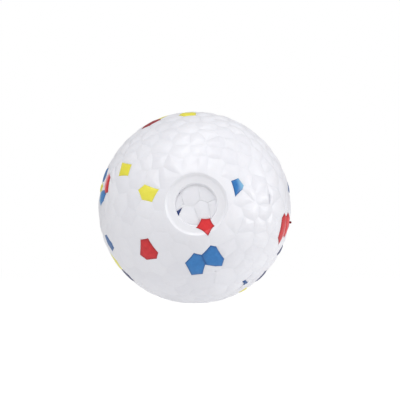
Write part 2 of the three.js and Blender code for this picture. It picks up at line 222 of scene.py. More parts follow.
COLOURED_BEADS = (
    Bead(
        "red_bead_port_edge", RED, in_port=(0.46, -0.94),
        outline=((-0.25, 0.31), (0.25, 0.33), (0.5, -0.09), (0.12, -0.62), (-0.57, -0.22)),
    ),
    Bead(
        "blue_bead_port_corner", BLUE, in_port=(-0.86, -0.4),
        outline=((-0.26, -0.21), (-0.09, 0.1), (0.21, 0.31), (0.05, -0.17)),
        wedged=True, shade_and_deep_tone=0.9,
    ),
    Bead(
        "blue_bead_low_pair_left", BLUE, at=(0.5, -36.5),
        outline=((-0.17, 0.76), (0.26, 0.64), (0.5, 0.02), (0.36, -0.72), (-0.29, -0.81), (-0.66, 0.07)),
    ),
    Bead(
        "blue_bead_low_pair_right", BLUE, at=(12.5, -32),
        outline=(
            (-0.79, 0.1), (-0.31, 0.79), (0.03, 0.72), (0.6, -0.09),
            (0.55, -0.59), (0.14, -0.59), (-0.55, -0.47),
        ),
    ),
    Bead(
        "red_bead_left_low", RED, at=(-32.5, -27.5),
        outline=((-0.34, 0.72), (0.19, 0.79), (0.62, -0.12), (0.4, -0.5), (-0.29, -0.57), (-0.66, -0.26)),
    ),
    Bead(
        "yellow_bead_left_middle", YELLOW, at=(-29.5, 6.5),
        outline=((-0.21, 0.52), (0.74, 0.21), (0.34, -0.5), (-0.33, -0.36), (-0.62, 0.21)),
    ),
    Bead(
        "yellow_bead_left_high", YELLOW, at=(-50.5, 21.5),
        outline=((-0.55, 0.5), (0.45, 0.31), (0.45, -0.4), (-0.45, -0.38)),
    ),
    Bead(
        "blue_bead_right_high", BLUE, at=(25, 11),
        outline=((-0.37, 0.27), (0.11, 0.45), (0.42, 0.02), (0.3, -0.22), (-0.2, -0.65)),
        fold=(0.35, 0.0), gloss=(0.9, 0.3),
    ),
    Bead(
        "blue_bead_right_low_small", BLUE, at=(55.3, -51.2),
        outline=((-0.25, 0.22), (0.33, -0.04), (0.15, -0.27), (-0.4, 0.07)),
        wedged=True, shade_and_deep_tone=0.6, bow=0.14,
    ),
    Bead(
        "red_bead_right_middle", RED, at=(68, -13.5),
        outline=((-0.1, 0.96), (0.28, 0.76), (0.53, -0.39), (0.12, -0.97), (-0.4, -0.53), (-0.45, 0.65)),
        gloss=(0.9, 0.0),
    ),
    Bead(
        "red_bead_right_rim", RED, at=(77.5, -11.5),
        outline=((-0.72, 0.5), (-0.3, 0.86), (0.32, 0.62), (0.47, -0.09), (-0.03, -0.72), (-0.45, -0.55)),
        nib=(83.0, -8.9),
    ),
    Bead("yellow_bead_top", YELLOW, at=(-14, 75)),
    Bead("red_bead_top_left", RED, at=(-70, 61), shade_and_deep_tone=0.7),
    Bead("yellow_bead_top_left", YELLOW, at=(-84, 71)),
    Bead(
        "blue_bead_left_rim_high", BLUE, at=(-81.7, 21),
        outline=((-0.45, 0.37), (0.2, 0.29), (0.5, -0.12), (0.38, -0.55), (-0.35, -0.6), (-0.75, -0.1)),
        shade_and_deep_tone=0.3,
    ),
    Bead(
        "red_bead_left_rim", RED, at=(-67, 13.5),
        outline=((-0.3, 0.67), (0.1, 0.37), (0.24, -0.53), (-0.2, -0.58), (-0.56, -0.18), (-0.62, 0.33)),
        gloss=(-2.0, 0.0), painted_highlight_base=1.3,
    ),
    Bead(
        "blue_bead_left_rim_low", BLUE, at=(-74, 5),
        outline=((-0.5, 0.45), (0.47, 0.49), (0.68, 0.27), (0.33, -0.17), (-0.29, -0.44), (-0.7, -0.1)),
        gloss=(-0.7, 0.0),
    ),
    Bead(
        "yellow_bead_left_rim", YELLOW, at=(-84, 11.5),
        outline=((-0.5, 0.3), (0.45, 0.33), (0.62, 0.08), (0.55, -0.2), (-0.4, -0.25)),
    ),
    Bead(
        "blue_bead_left_low", BLUE, at=(-72, -23),
        outline=((-0.46, 0.58), (0, 0.62), (0.47, 0.09), (0.48, -0.23), (-0.06, -0.44), (-0.46, 0.09)),
        shade_and_deep_tone=0.5,
    ),
    Bead("yellow_bead_left_low", YELLOW, at=(-84.5, -34.5)),
    Bead("blue_bead_bottom_left", BLUE, at=(-82, -46), shade_and_deep_tone=1.0),
    Bead(
        "blue_bead_right_rim_low", BLUE, at=(84, -26.4),
        outline=((-0.5, 0.22), (0.1, 0.36), (0.5, 0.1), (0.45, -0.3), (-0.1, -0.4), (-0.5, -0.28)),
        shade_and_deep_tone=1.0,
    ),
    Bead("blue_bead_bottom_right", BLUE, at=(85, -47.6), shade_and_deep_tone=1.0),
    Bead(
        "yellow_bead_bottom_right", YELLOW, at=(85.5, -59.5),
        outline=((-0.45, 0.18), (0.1, 0.3), (0.5, 0.12), (0.45, -0.26), (-0.1, -0.34), (-0.45, -0.22)),
    ),
    Bead("blue_bead_right_rim_high", BLUE, at=(92.7, 13), shade_and_deep_tone=0.6),
    Bead("red_bead_back_right_high", RED, at=(118, 36)),
    Bead("yellow_bead_back_right_low", YELLOW, at=(107, -34)),
    Bead("blue_bead_back_right_top", BLUE, at=(113, 63)),
    Bead("blue_bead_back_right_middle", BLUE, at=(128, -9)),
    Bead("yellow_bead_back_right_middle", YELLOW, at=(138, 14)),
    Bead("red_bead_back_right_low", RED, at=(148, -22)),
    Bead("yellow_bead_back_bottom_right", YELLOW, at=(141, -54)),
    Bead("yellow_bead_back_top", YELLOW, at=(162, 68)),
    Bead("blue_bead_back_high", BLUE, at=(166, 21)),
    Bead("red_bead_back_high", RED, at=(176, 45)),
    Bead("blue_bead_back_low", BLUE, at=(181, -38)),
    Bead("yellow_bead_back_middle", YELLOW, at=(186, -8)),
    Bead("red_bead_back_middle", RED, at=(206, 9)),
    Bead("red_bead_back_bottom", RED, at=(196, -60)),
    Bead("blue_bead_back_left_high", BLUE, at=(214, 41)),
    Bead("blue_bead_back_left_pair", BLUE, at=(223, 36)),
    Bead("yellow_bead_back_left_low", YELLOW, at=(222, -19)),
    Bead("red_bead_back_left_low", RED, at=(230, -41)),
    Bead("blue_bead_back_left_middle", BLUE, at=(240, 4)),
    Bead("yellow_bead_back_left_high", YELLOW, at=(249, 33)),
    Bead("red_bead_back_left_top", RED, at=(246, 62)),
    Bead("blue_bead_back_left_bottom", BLUE, at=(253, -61)),
)

PORT_BEADS = (
    Bead("port_bead_upper_left", WHITE, in_port=(-0.33, 0.34), lift=0.25),
    Bead("port_bead_upper_right", WHITE, in_port=(0.62, 0.5), lift=0.2),
    Bead("port_bead_right", WHITE, in_port=(0.9, -0.2), lift=0.35),
    Bead("port_bead_centre", WHITE, in_port=(0.36, -0.3), lift=0.4),
    Bead("port_bead_lower_left", WHITE, in_port=(-0.33, -0.6), lift=0.4),
    Bead("port_bead_left", WHITE, in_port=(-0.95, 0.2), lift=0.2),
)

BEADS = {bead.name: bead for bead in COLOURED_BEADS}
SURFACE_BEADS = tuple(bead for bead in COLOURED_BEADS if bead.at)

# Bearings of the white beads round the port, which is where they show best.
WHITE_BEADS = (
    (-26, 37), (-26.5, 27), (-14, 24.5), (-9.5, 33), (-10, 42.5), (-23.5, 46), (1, 42), (-7.5, 52.5),
    (-2.5, 24.5), (-38, 25.5), (-25, 16.5), (-18, 16.5), (-41.5, 34), (10, 46), (27.5, 49), (12, 55.5),
    (32, 59.5), (2.5, 33.5), (12.5, 32.5), (4.5, 24), (11.5, 23.5), (23.5, 30), (28.5, 38.5), (39, 35.5),
    (34.5, 27.5), (20.5, 22), (41, 23), (53.5, 24.5), (39.5, 12.5), (34.5, 5.5), (43.5, 5), (53.5, 5.5),
    (67.5, 12), (31.5, 16.5), (34, -4.5), (44.5, -4.5), (41.5, -12), (52, -10.5), (24, -9), (21, -14.5),
    (15, -18), (31.5, -11.5), (32.5, -20.5), (44, -20.5), (21.5, -25), (31.5, -32.5), (24, -36), (42, -29),
    (25.5, -2), (26.5, 2.5),
)


# Places on the ball


def unit(vector: Array) -> Array:
    """A vector, or each row of an array, at length 1."""
    return vector / np.linalg.norm(vector, axis=-1, keepdims=True)


def direction(bearing: float, height: float) -> Array:
    """Direction from the ball's centre.

    Args:
        bearing: Degrees from the front towards the right.
        height: Degrees above the middle.

    Returns:
        A unit vector.
    """
    turn, rise = math.radians(bearing), math.radians(height)
    return np.array([math.sin(turn) * math.cos(rise), -math.cos(turn) * math.cos(rise), math.sin(rise)])


def tangents(seed: Array) -> tuple[Array, Array]:
    """Directions to the right and upwards for someone facing the ball at a seed.

    Args:
        seed: A unit vector.

    Returns:
        Two unit vectors.
    """
    right = np.cross((0.0, 0.0, 1.0), seed)
    right = np.array([1.0, 0.0, 0.0]) if right @ right < NO_LENGTH else unit(right)
    return right, np.cross(seed, right)


def beside(seed: Array, across: float, above: float, radius: float) -> Array:
    """Direction of a point right of and above a seed, in millimetres on a ball of that radius."""
    right, up = tangents(seed)
    return unit(seed * radius + right * across + up * above)


def flattened(seed: Array, points: Array, radius: float) -> Array:
    """Points of a ball on the plane that touches it at a seed, in millimetres right of and above it.

    Args:
        seed: A unit vector.
        points: Directions from the ball's centre.
        radius: Of the ball.

    Returns:
        The two distances of each point.
    """
    right, up = tangents(seed)
    on_plane = points * (radius / (points @ seed))[:, None]
    return np.stack([on_plane @ right, on_plane @ up], axis=1)


def bowed_edge(first: Array, last: Array, segment: float, bow: float) -> list[Array]:
    """Points along an edge that bows to its left.

    Args:
        first: Direction of its start.
        last: Direction of its end.
        segment: Length of a step, on a ball of radius 1.
        bow: As a share of the edge's length.

    Returns:
        Directions of the points, with the start and without the end.
    """
    length = np.linalg.norm(last - first)
    left = unit(np.cross(first, last))
    steps = max(1, round(length / segment))
    places = []
    for step in range(steps):
        t = step / steps
        place = unit(first * (1 - t) + last * t)
        places.append(unit(place + left * bow * 4 * t * (1 - t) * length))
    return places


class BeadSeeds:
    """Where the beads lie, by the same rules as in the CAD.

    The next random number is the last times FACTOR plus STEP, in RANGE. A seed may be nearer to a corner of
    an outlined bead than the bead's own seed is by one of SLACKS_IN_GAP parts of the weld gap.
    """

    FACTOR, STEP, RANGE = 1664525, 1013904223, 4294967296
    SLACKS_IN_GAP = 10

    def __init__(self, sizes: BallSizes, beads: tuple[Bead, ...], port_beads: tuple[Bead, ...]) -> None:
        """Places the seeds.

        Args:
            sizes: The ball.
            beads: The coloured beads.
            port_beads: The beads on the port's floor.
        """
        self.sizes = sizes
        separate = (*beads, *port_beads)
        self.places = {bead.name: bead.seed(sizes) for bead in separate}
        self.outlines = {
            bead.name: np.array(
                [
                    beside(self.places[bead.name], x * sizes.bead_pitch, y * sizes.bead_pitch, sizes.radius)
                    for x, y in bead.outline
                ]
            )
            for bead in separate
            if bead.outline
        }
        wedged = {bead.name for bead in separate if bead.wedged}
        own = [(self.places[name], corners, name in wedged) for name, corners in self.outlines.items()]
        own.append((*self._rest_face(), False))
        self._kept = [(seed, corners) for seed, corners, is_wedged in own if not is_wedged]

        self.named = [bead.name for bead in separate if bead.name not in wedged]
        bead_seeds = [self.places[name] for name in self.named]
        fixed = [*bead_seeds, own[-1][0]]
        for seed, corners, is_wedged in own:
            others = [other for other in bead_seeds if other is not seed]
            across = self._neighbours_across(seed, corners, is_wedged)
            fixed.extend(place for place in across if self._may_lie(place, others))
        for bearing in WHITE_BEADS:
            place = direction(*bearing)
            if self._may_lie(place, fixed):
                fixed.append(place)
        loose = [place for place in self._scattered() if self._may_lie(place, fixed)]
        for _ in range(sizes.relaxing_rounds):
            loose = self._relaxed(fixed, loose)
        self.seeds = np.array([*fixed, *loose])

    def _rest_face(self) -> tuple[Array, Array]:
        """Seed and corners of the flat bead that the ball stands on.

        Returns:
            Their directions.
        """
        sizes = self.sizes
        seed = np.array([0.0, 0.0, -1.0])
        reach = sizes.rest_face_width / 2 + sizes.rest_shoulder
        turns = [2 * math.pi * k / sizes.rest_corners for k in range(sizes.rest_corners)]
        corners = [beside(seed, reach * math.cos(t), reach * math.sin(t), sizes.radius) for t in turns]
        return seed, np.array(corners)

    def _scattered(self) -> list[Array]:
        """Evenly spread directions, each strayed a little.

        Returns:
            Unit vectors.
        """
        sizes = self.sizes
        area = sizes.bead_pitch**2 * math.sqrt(3) / 2
        count = round(4 * math.pi * sizes.radius**2 / area)
        golden = math.pi * (3 - math.sqrt(5))
        state = sizes.scatter_seed
        places = []
        for index in range(count):
            height = 1 - (2 * index + 1) / count
            ring = math.sqrt(1 - height**2)
            even = np.array([ring * math.cos(golden * index), ring * math.sin(golden * index), height])
            stray = []
            for _ in range(2):
                state = (state * self.FACTOR + self.STEP) % self.RANGE
                stray.append((2 * state / self.RANGE - 1) * sizes.furthest_stray * sizes.bead_pitch)
            places.append(beside(even, *stray, sizes.radius))
        return places

    def _cuts_into(self, place: Array) -> bool:
        """Whether a seed would take a corner from the outline of an outlined bead.

        Args:
            place: Direction of the seed.

        Returns:
            True if it would.
        """
        for seed, corners in self._kept:
            to_place = np.linalg.norm(corners - place, axis=1) * self.sizes.radius
            to_seed = np.linalg.norm(corners - seed, axis=1) * self.sizes.radius
            if np.any(to_place < to_seed - self.sizes.weld_gap / self.SLACKS_IN_GAP):
                return True
        return False

    def _may_lie(self, place: Array, others: list[Array]) -> bool:
        """Whether a seed is clear of others, of the outlined beads and of the port's floor.

        Args:
            place: Direction of the seed.
            others: Directions of the others.

        Returns:
            True if it is.
        """
        if place[1] < 0 and math.hypot(place[0], place[2]) < -place[1] * self.sizes.floor_slope:
            return False
        least = self.sizes.nearest_beads * self.sizes.bead_pitch
        apart = np.linalg.norm(np.array(others) - place, axis=1) * self.sizes.radius
        return bool(np.all(apart > least)) and not self._cuts_into(place)

    def _neighbours_across(self, seed: Array, corners: Array, wedged: bool) -> list[Array]:
        """Seeds that meet an outlined bead in its straight edges.

        Args:
            seed: Of the bead.
            corners: Of its outline.
            wedged: Whether it is a small one where larger ones meet.

        Returns:
            Directions of the seeds, one to an edge.
        """
        least = self.sizes.nearest_beads * self.sizes.bead_pitch / self.sizes.radius
        found = []
        for corner, after in zip(corners, np.roll(corners, -1, axis=0)):
            edge = unit(np.cross(corner, after))
            off = float(seed @ edge)
            away = max(2 * abs(off), least) if wedged else 2 * abs(off)
            found.append(unit(seed - math.copysign(away, off) * edge))
        return found

    def _relaxed(self, fixed: list[Array], loose: list[Array]) -> list[Array]:
        """The loose seeds, each in the middle of its cell where no outlined bead loses a corner to it.

        Args:
            fixed: Directions of the seeds that stay.
            loose: Directions of the loose ones.

        Returns:
            The moved ones.
        """
        corners, rings = surface_cells(np.array([*fixed, *loose]))
        moved = []
        for seed, ring in zip(loose, rings[len(fixed) :]):
            middle = unit(corners[ring].sum(axis=0))
            moved.append(seed if self._cuts_into(middle) else middle)
        return moved


def hull_triangles(places: Array) -> Array:
    """Triangles of the hull of points on a sphere.

    Args:
        places: Unit vectors, on all sides.

    Returns:
        Numbers of the corners, three to a triangle, anticlockwise from outside.
    """
    a = 0
    b = int(np.argmin(places @ places[a]))
    c = int(np.argmax(np.linalg.norm(np.cross(places - places[a], places[b] - places[a]), axis=1)))
    heights = (places - places[a]) @ np.cross(places[b] - places[a], places[c] - places[a])
    d = int(np.argmax(np.abs(heights)))
    if heights[d] > 0:
        b, c = c, b
    triangles = np.array([(a, b, c), (a, d, b), (b, d, c), (c, d, a)])
    for point in range(len(places)):
        if point in (a, b, c, d):
            continue
        first, second, third = (places[triangles[:, k]] for k in range(3))
        seen = ((places[point] - first) * np.cross(second - first, third - first)).sum(axis=1) > 0
        edges = {(int(t[k]), int(t[k - 2])) for t in triangles[seen] for k in range(3)}
        rim = sorted((start, end, point) for start, end in edges if (end, start) not in edges)
        triangles = np.concatenate([triangles[~seen], np.array(rim)])
    return triangles


def surface_cells(seeds: Array) -> tuple[Array, list[list[int]]]:
    """Cells of the ball's surface, one to a seed.

    Args:
        seeds: Unit vectors.

    Returns:
        Directions of the corners, and the ring of corners round each seed.
    """
    triangles = hull_triangles(seeds)
    first, second, third = (seeds[triangles[:, k]] for k in range(3))
    places = unit(np.cross(second - first, third - first))
    rings: list[list[int]] = [[] for _ in seeds]
    for corner, triangle in enumerate(triangles):
        for seed_number in triangle:
            rings[seed_number].append(corner)
    for seed, ring in zip(seeds, rings):
        right, up = tangents(seed)
        ring.sort(key=lambda k: math.atan2(places[k] @ up, places[k] @ right))
    return places, rings


@dataclass
class Cell:
    """One bead's share of the surface.

    Attributes:
        bead: Number of the bead.
        loop: Its border, as numbers of points, anticlockwise from outside.
        middle: Direction that sees the whole border.
    """

    bead: int
    loop: list[int]
    middle: Array = field(default_factory=lambda: np.zeros(3))


@dataclass
class BeadNet:
    """The ball's surface as cells with shared, slightly bowed borders.

    Attributes:
        sizes: The ball.
        segment: Length of the steps along a border.
        white_bow: Most that a border of two white beads bows, as a share of its length.
        coloured_bow: How far a white bead bulges into a coloured one, as a share of the border's length.
        bow_range: Least and most of that bulge, as shares of it.
        seed: Of the random bows.
        leftovers: Most pieces that an outlined bead leaves of its cell.
        shortest_edge: Corners of cells that are nearer than this are one.
        least_room: From the place that sees all of a cell's border to its edges.
        stamp_reach: How far beyond an outline the cells under it may have corners.
        cut_slack: Points that are nearer than this to a cut lie on it.
        inside_slack: How far a cell in an outline may reach out of it.
        straight: Corners of more degrees than this are none.
        no_edge: Edges that are shorter than this have no direction.
        search: Rounds, steps and narrowing of the search for a cell's middle.
        points: Directions of the borders' points.
        cells: What was made.
        names: Beads that are pieces of their own, by number.
    """

    sizes: BallSizes
    segment: float = 0.75
    white_bow: float = 0.07
    coloured_bow: float = 0.025
    bow_range: Pair = (0.6, 1.2)
    seed: int = 11
    leftovers: int = 6
    shortest_edge: float = 0.06
    least_room: float = 0.3
    stamp_reach: float = 8.0
    cut_slack: float = 0.01
    inside_slack: float = 0.03
    straight: float = 177.0
    no_edge: float = 1e-4
    search: tuple[int, int, int] = (4, 17, 6)
    points: Array = field(default_factory=lambda: np.zeros((0, 3)))
    cells: list[Cell] = field(default_factory=list)
    names: dict[int, str] = field(default_factory=dict)

    def build(self, seeds: BeadSeeds, beads: tuple[Bead, ...]) -> None:
        """Makes the cells.

        Args:
            seeds: Where the beads lie.
            beads: The coloured beads of the ball's surface.
        """
        corners, rings = surface_cells(seeds.seeds)
        net = bmesh.new()
        number = net.faces.layers.int.new("bead")
        verts = [net.verts.new(corner * self.sizes.radius) for corner in corners]
        for bead, ring in enumerate(rings):
            net.faces.new([verts[k] for k in ring])[number] = bead
        bmesh.ops.remove_doubles(net, verts=net.verts[:], dist=self.shortest_edge)
        outlined = [bead for bead in beads if bead.outline]
        stamped = set(seeds.outlines)
        self.names = {index: name for index, name in enumerate(seeds.named) if name not in stamped}
        # A wedged bead keeps its shape among outlined ones, and of those the first in the list.
        for bead in sorted(reversed(outlined), key=lambda bead: bead.wedged):
            own = len(rings) + outlined.index(bead)
            self._stamp(net, number, seeds.outlines[bead.name], own)
            self.names[own] = bead.name
            if bead.name in seeds.named:
                self._share_out(net, number, seeds.named.index(bead.name))
        self._tidy(net)
        self._split(net, number)
        self._trace(net, number, {bead.name: bead.bow or self.coloured_bow for bead in beads})
        net.free()

    def _share_out(self, net: Editor, number: Layer, bead: int) -> None:
        """Gives what an outlined bead left over of its cell to the white cells beside it.

        Args:
            net: The cells as a mesh.
            number: Layer of the beads' numbers.
            bead: Number of the cell.
        """
        for _ in range(self.leftovers):
            left = next((face for face in net.faces if face[number] == bead), None)
            if not left:
                return
            beside_it: dict[bmesh.types.BMFace, float] = {}
            for edge in left.edges:
                for face in edge.link_faces:
                    if face is not left and face[number] not in self.names:
                        beside_it[face] = beside_it.get(face, 0.0) + edge.calc_length()
            if not beside_it:
                return
            taker = max(beside_it, key=beside_it.get)
            owner = taker[number]
            for face in bmesh.ops.dissolve_faces(net, faces=[left, taker])["region"]:
                face[number] = owner

    def _stamp(self, net: Editor, number: Layer, corners: Array, bead: int) -> None:
        """Cuts a bead's outline into the cells under it, which keep what is left of them.

        Args:
            net: The cells as a mesh.
            number: Layer of the beads' numbers.
            corners: Directions of the outline's corners.
            bead: Number that the cut cell gets.
        """
        radius = self.sizes.radius
        middle = unit(corners.sum(axis=0))
        planes = unit(np.cross(corners, np.roll(corners, -1, axis=0)))
        if planes[0] @ middle < 0:
            planes = -planes
        reach = np.linalg.norm(corners - middle, axis=1).max() * radius + self.stamp_reach
        centre = Vector(middle * radius)
        local = [face for face in net.faces if any((vert.co - centre).length < reach for vert in face.verts)]
        for plane in planes:
            near = {item for face in local for item in (face, *face.edges, *face.verts)}
            cut = bmesh.ops.bisect_plane(
                net, geom=list(near), dist=self.cut_slack, plane_co=(0, 0, 0), plane_no=Vector(plane)
            )
            local = [item for item in cut["geom"] if isinstance(item, bmesh.types.BMFace)]
        inside, outside = [], {}
        for face in local:
            places = np.array([vert.co for vert in face.verts])
            if np.all(places @ planes.T > -self.inside_slack):
                inside.append(face)
            else:
                outside.setdefault(face[number], []).append(face)
        for group, owner in [(inside, bead), *((faces, owner) for owner, faces in outside.items())]:
            merged = bmesh.ops.dissolve_faces(net, faces=group)["region"] if len(group) > 1 else group
            for face in merged:
                face[number] = owner

    def _tidy(self, net: Editor) -> None:
        """Takes out the points that the cuts left along straight borders.

        Args:
            net: The cells as a mesh.
        """
        straight = []
        for vert in net.verts:
            if len(vert.link_edges) == 2:
                before, after = (edge.other_vert(vert).co - vert.co for edge in vert.link_edges)
                if before.angle(after) > math.radians(self.straight):
                    straight.append(vert)
        bmesh.ops.dissolve_verts(net, verts=straight)
        loose = [vert for vert in net.verts if not vert.link_faces]
        bmesh.ops.delete(net, geom=loose, context="VERTS")

    def _split(self, net: Editor, number: Layer) -> None:
        """Parts the white cells that the cuts left so bent that no place inside sees all of the border.

        Args:
            net: The cells as a mesh.
            number: Layer of the beads' numbers.
        """
        bent = []
        for face in net.faces:
            _, room = self.middle(unit(np.array([vert.co for vert in face.verts])))
            if room < self.least_room:
                name = self.names.get(face[number])
                LOG.info("bent cell of %s: %.2f mm", name or "a white bead", room)
                if not name:
                    bent.append(face)
        bmesh.ops.connect_verts_concave(net, faces=bent)

    def _trace(self, net: Editor, number: Layer, coloured: dict[str, float]) -> None:
        """Reads the cells from the mesh, with each border bowed and in short steps.

        Args:
            net: The cells as a mesh.
            number: Layer of the beads' numbers.
            coloured: How far others bulge into the coloured beads, by name.
        """
        chance = random.Random(self.seed)
        net.verts.index_update()
        points = [unit(np.array(vert.co)) for vert in net.verts]
        along: dict[tuple[int, int], list[int]] = {}
        for edge in net.edges:
            start, end = (vert.index for vert in edge.verts)
            first, last = points[start], points[end]
            bow = chance.uniform(-self.white_bow, self.white_bow)
            is_coloured = [self.names.get(face[number]) in coloured for face in edge.link_faces]
            if all(is_coloured):
                bow = 0.0
            elif any(is_coloured):
                face = edge.link_faces[is_coloured.index(True)]
                centre = unit(np.array(face.calc_center_median()))
                most = coloured[self.names[face[number]]]
                left = np.cross(first, last)
                bow = math.copysign(most * chance.uniform(*self.bow_range), centre @ left)
            _, *places = bowed_edge(first, last, self.segment / self.sizes.radius, bow)
            inner = list(range(len(points), len(points) + len(places)))
            points.extend(places)
            along[start, end] = inner
            along[end, start] = inner[::-1]
        self.points = np.array(points)
        for face in net.faces:
            loop = []
            ring = [vert.index for vert in face.verts]
            for start, end in zip(ring, ring[1:] + ring[:1]):
                loop.extend([start, *along[start, end]])
            cell = Cell(face[number], loop)
            cell.middle, _ = self.middle(self.points[loop])
            self.cells.append(cell)

    def middle(self, border: Array) -> tuple[Array, float]:
        """Place inside a border that is furthest from the lines of its edges.

        Args:
            border: Directions of its points, anticlockwise from outside.

        Returns:
            Its direction, and how far it is from the nearest line, less than 0 where none sees all edges.
        """
        seed = unit(border.sum(axis=0))
        flat = flattened(seed, border, self.sizes.radius)
        edges = np.roll(flat, -1, axis=0) - flat
        lengths = np.linalg.norm(edges, axis=1)
        keep = lengths > self.no_edge
        normals = np.stack([-edges[:, 1], edges[:, 0]], axis=1)[keep] / lengths[keep, None]
        starts = flat[keep]
        low, high = flat.min(axis=0), flat.max(axis=0)
        best, best_room = np.zeros(2), -math.inf
        rounds, steps, narrowing = self.search
        for _ in range(rounds):
            xs, ys = (np.linspace(low[k], high[k], steps) for k in range(2))
            tries = np.stack(np.meshgrid(xs, ys), axis=-1).reshape(-1, 2)
            room = ((tries[:, None] - starts) * normals).sum(axis=-1).min(axis=1)
            pick = int(room.argmax())
            if room[pick] > best_room:
                best, best_room = tries[pick], room[pick]
            span = (high - low) / narrowing
            low, high = best - span, best + span
        return beside(seed, *best, self.sizes.radius), float(best_room)


# Node trees


class NodeGraph:
    """Adds nodes to a tree and links them."""

    def __init__(self, tree: bpy.types.NodeTree) -> None:
        """Takes a tree.

        Args:
            tree: The tree to fill.
        """
        self.tree = tree

    def add(self, kind: str, inputs: dict | None = None, **settings: object) -> bpy.types.Node:
        """Adds a node.

        Args:
            kind: The node's type.
            inputs: Values or sockets for its inputs, by name or number.
            **settings: Properties of the node.

        Returns:
            The node.
        """
        node = self.tree.nodes.new(kind)
        for name, value in settings.items():
            setattr(node, name, value)
        for key, value in (inputs or {}).items():
            if isinstance(value, Socket):
                self.tree.links.new(value, node.inputs[key])
            else:
                node.inputs[key].default_value = value
        return node

    def math(self, operation: str, *values: object) -> Socket:
        """Adds a sum on numbers.

        Args:
            operation: What to do.
            *values: Numbers or sockets.

        Returns:
            The result.
        """
        return self.add("ShaderNodeMath", dict(enumerate(values)), operation=operation).outputs[0]

    def vector(self, operation: str, *values: object) -> Socket:
        """Adds a sum on vectors.

        Args:
            operation: What to do.
            *values: Vectors or sockets.

        Returns:
            The result, which is a number for a dot product.
        """
        node = self.add("ShaderNodeVectorMath", dict(enumerate(values)), operation=operation)
        return node.outputs["Value" if operation == "DOT_PRODUCT" else 0]

    def along(self, heading: Socket, length: Socket) -> Socket:
        """Adds a vector of a given length along a heading."""
        inputs = {0: heading, "Scale": length}
        return self.add("ShaderNodeVectorMath", inputs, operation="SCALE").outputs[0]

    def stored(self, name: str, domain: str = "POINT", **inputs: object) -> Socket:
        """Stores a number on a geometry.

        Args:
            name: Of the attribute.
            domain: POINT or FACE.
            **inputs: Geometry, Value and Selection.

        Returns:
            The geometry.
        """
        inputs["Name"] = name
        kind = "GeometryNodeStoreNamedAttribute"
        return self.add(kind, inputs, data_type="FLOAT", domain=domain).outputs[0]

    def given(self, name: str, kind: str) -> Socket:
        """An attribute of a kind that a mesh has, for a node tree that shapes it."""
        return self.add("GeometryNodeInputNamedAttribute", {"Name": name}, data_type=kind).outputs[0]

    def read(self, name: str) -> Socket:
        """A number that is stored on a mesh, for a material."""
        return self.add("ShaderNodeAttribute", attribute_name=name).outputs["Fac"]

    def noise(self, place: Socket, noise: Triple) -> Socket:
        """Adds a noise, given its spots to the metre, its finer layers and their strength."""
        inputs = dict(zip(("Scale", "Detail", "Roughness"), noise))
        return self.add("ShaderNodeTexNoise", {"Vector": place, **inputs}).outputs[0]

    def blend(self, share: Socket, first: object, second: object) -> Socket:
        """Adds a mix of two colours, with a share of the second from 0 to 1."""
        inputs = {0: share, 6: first, 7: second}
        return self.add("ShaderNodeMix", inputs, data_type="RGBA", clamp_factor=True).outputs[2]

    def either(self, choice: Socket, no: float, yes: float) -> Socket:
        """Adds a choice of two numbers."""
        return self.add("ShaderNodeMix", {0: choice, 2: no, 3: yes}, data_type="FLOAT").outputs[0]


def cleared(block: Material | bpy.types.World) -> NodeGraph:
    """The empty node tree of a new material or world.

    Args:
        block: The material or world.

    Returns:
        Takes the nodes.
    """
    block.use_nodes = True
    block.node_tree.nodes.clear()
    return NodeGraph(block.node_tree)


def placed(name: str, data: bpy.types.ID) -> Piece:
    """A new object in the scene.

    Args:
        name: Of the object.
        data: Its mesh, lamp or camera.

    Returns:
        The object.
    """
    made = bpy.data.objects.new(name, data)
    bpy.context.collection.objects.link(made)
    return made


@contextmanager
def edited(mesh: Mesh) -> Iterator[Editor]:
    """Opens a mesh for edits, and writes them to it at the end.

    Args:
        mesh: The mesh.

    Returns:
        What edits it, for the length of a with block.
    """
    editor = bmesh.new()
    editor.from_mesh(mesh)
    yield editor
    editor.to_mesh(mesh)
    editor.free()


@dataclass(frozen=True)
class Relief:
    """How a cell is raised into a bead.

    Attributes:
        groove: Depth of the valley round the bead.
        sharpness: How narrow the shoulder is that falls to the valley.
        dome: Height of the low dome over the whole bead.
        unevenness: Most that a bead's face lies above or below the ball.
        tilt: Most that a bead's face leans, as a slope.
        root: Reach of the bead, or of the pocket, into the ball.
        waist: Width half way down, as a share of the face.
        tip: Width at the inner end, as a share of the waist.
        rings: Steps from the border to the middle.
        flat: Whether the faces lie in a plane across the port's axis, and not on the ball.
    """

    groove: float = 0.4
    sharpness: float = 1.6
    dome: float = 0.0
    unevenness: float = 0.06
    tilt: float = 0.03
    root: float = 5.6
    waist: float = 0.9
    tip: float = 0.56
    rings: int = 6
    flat: bool = False


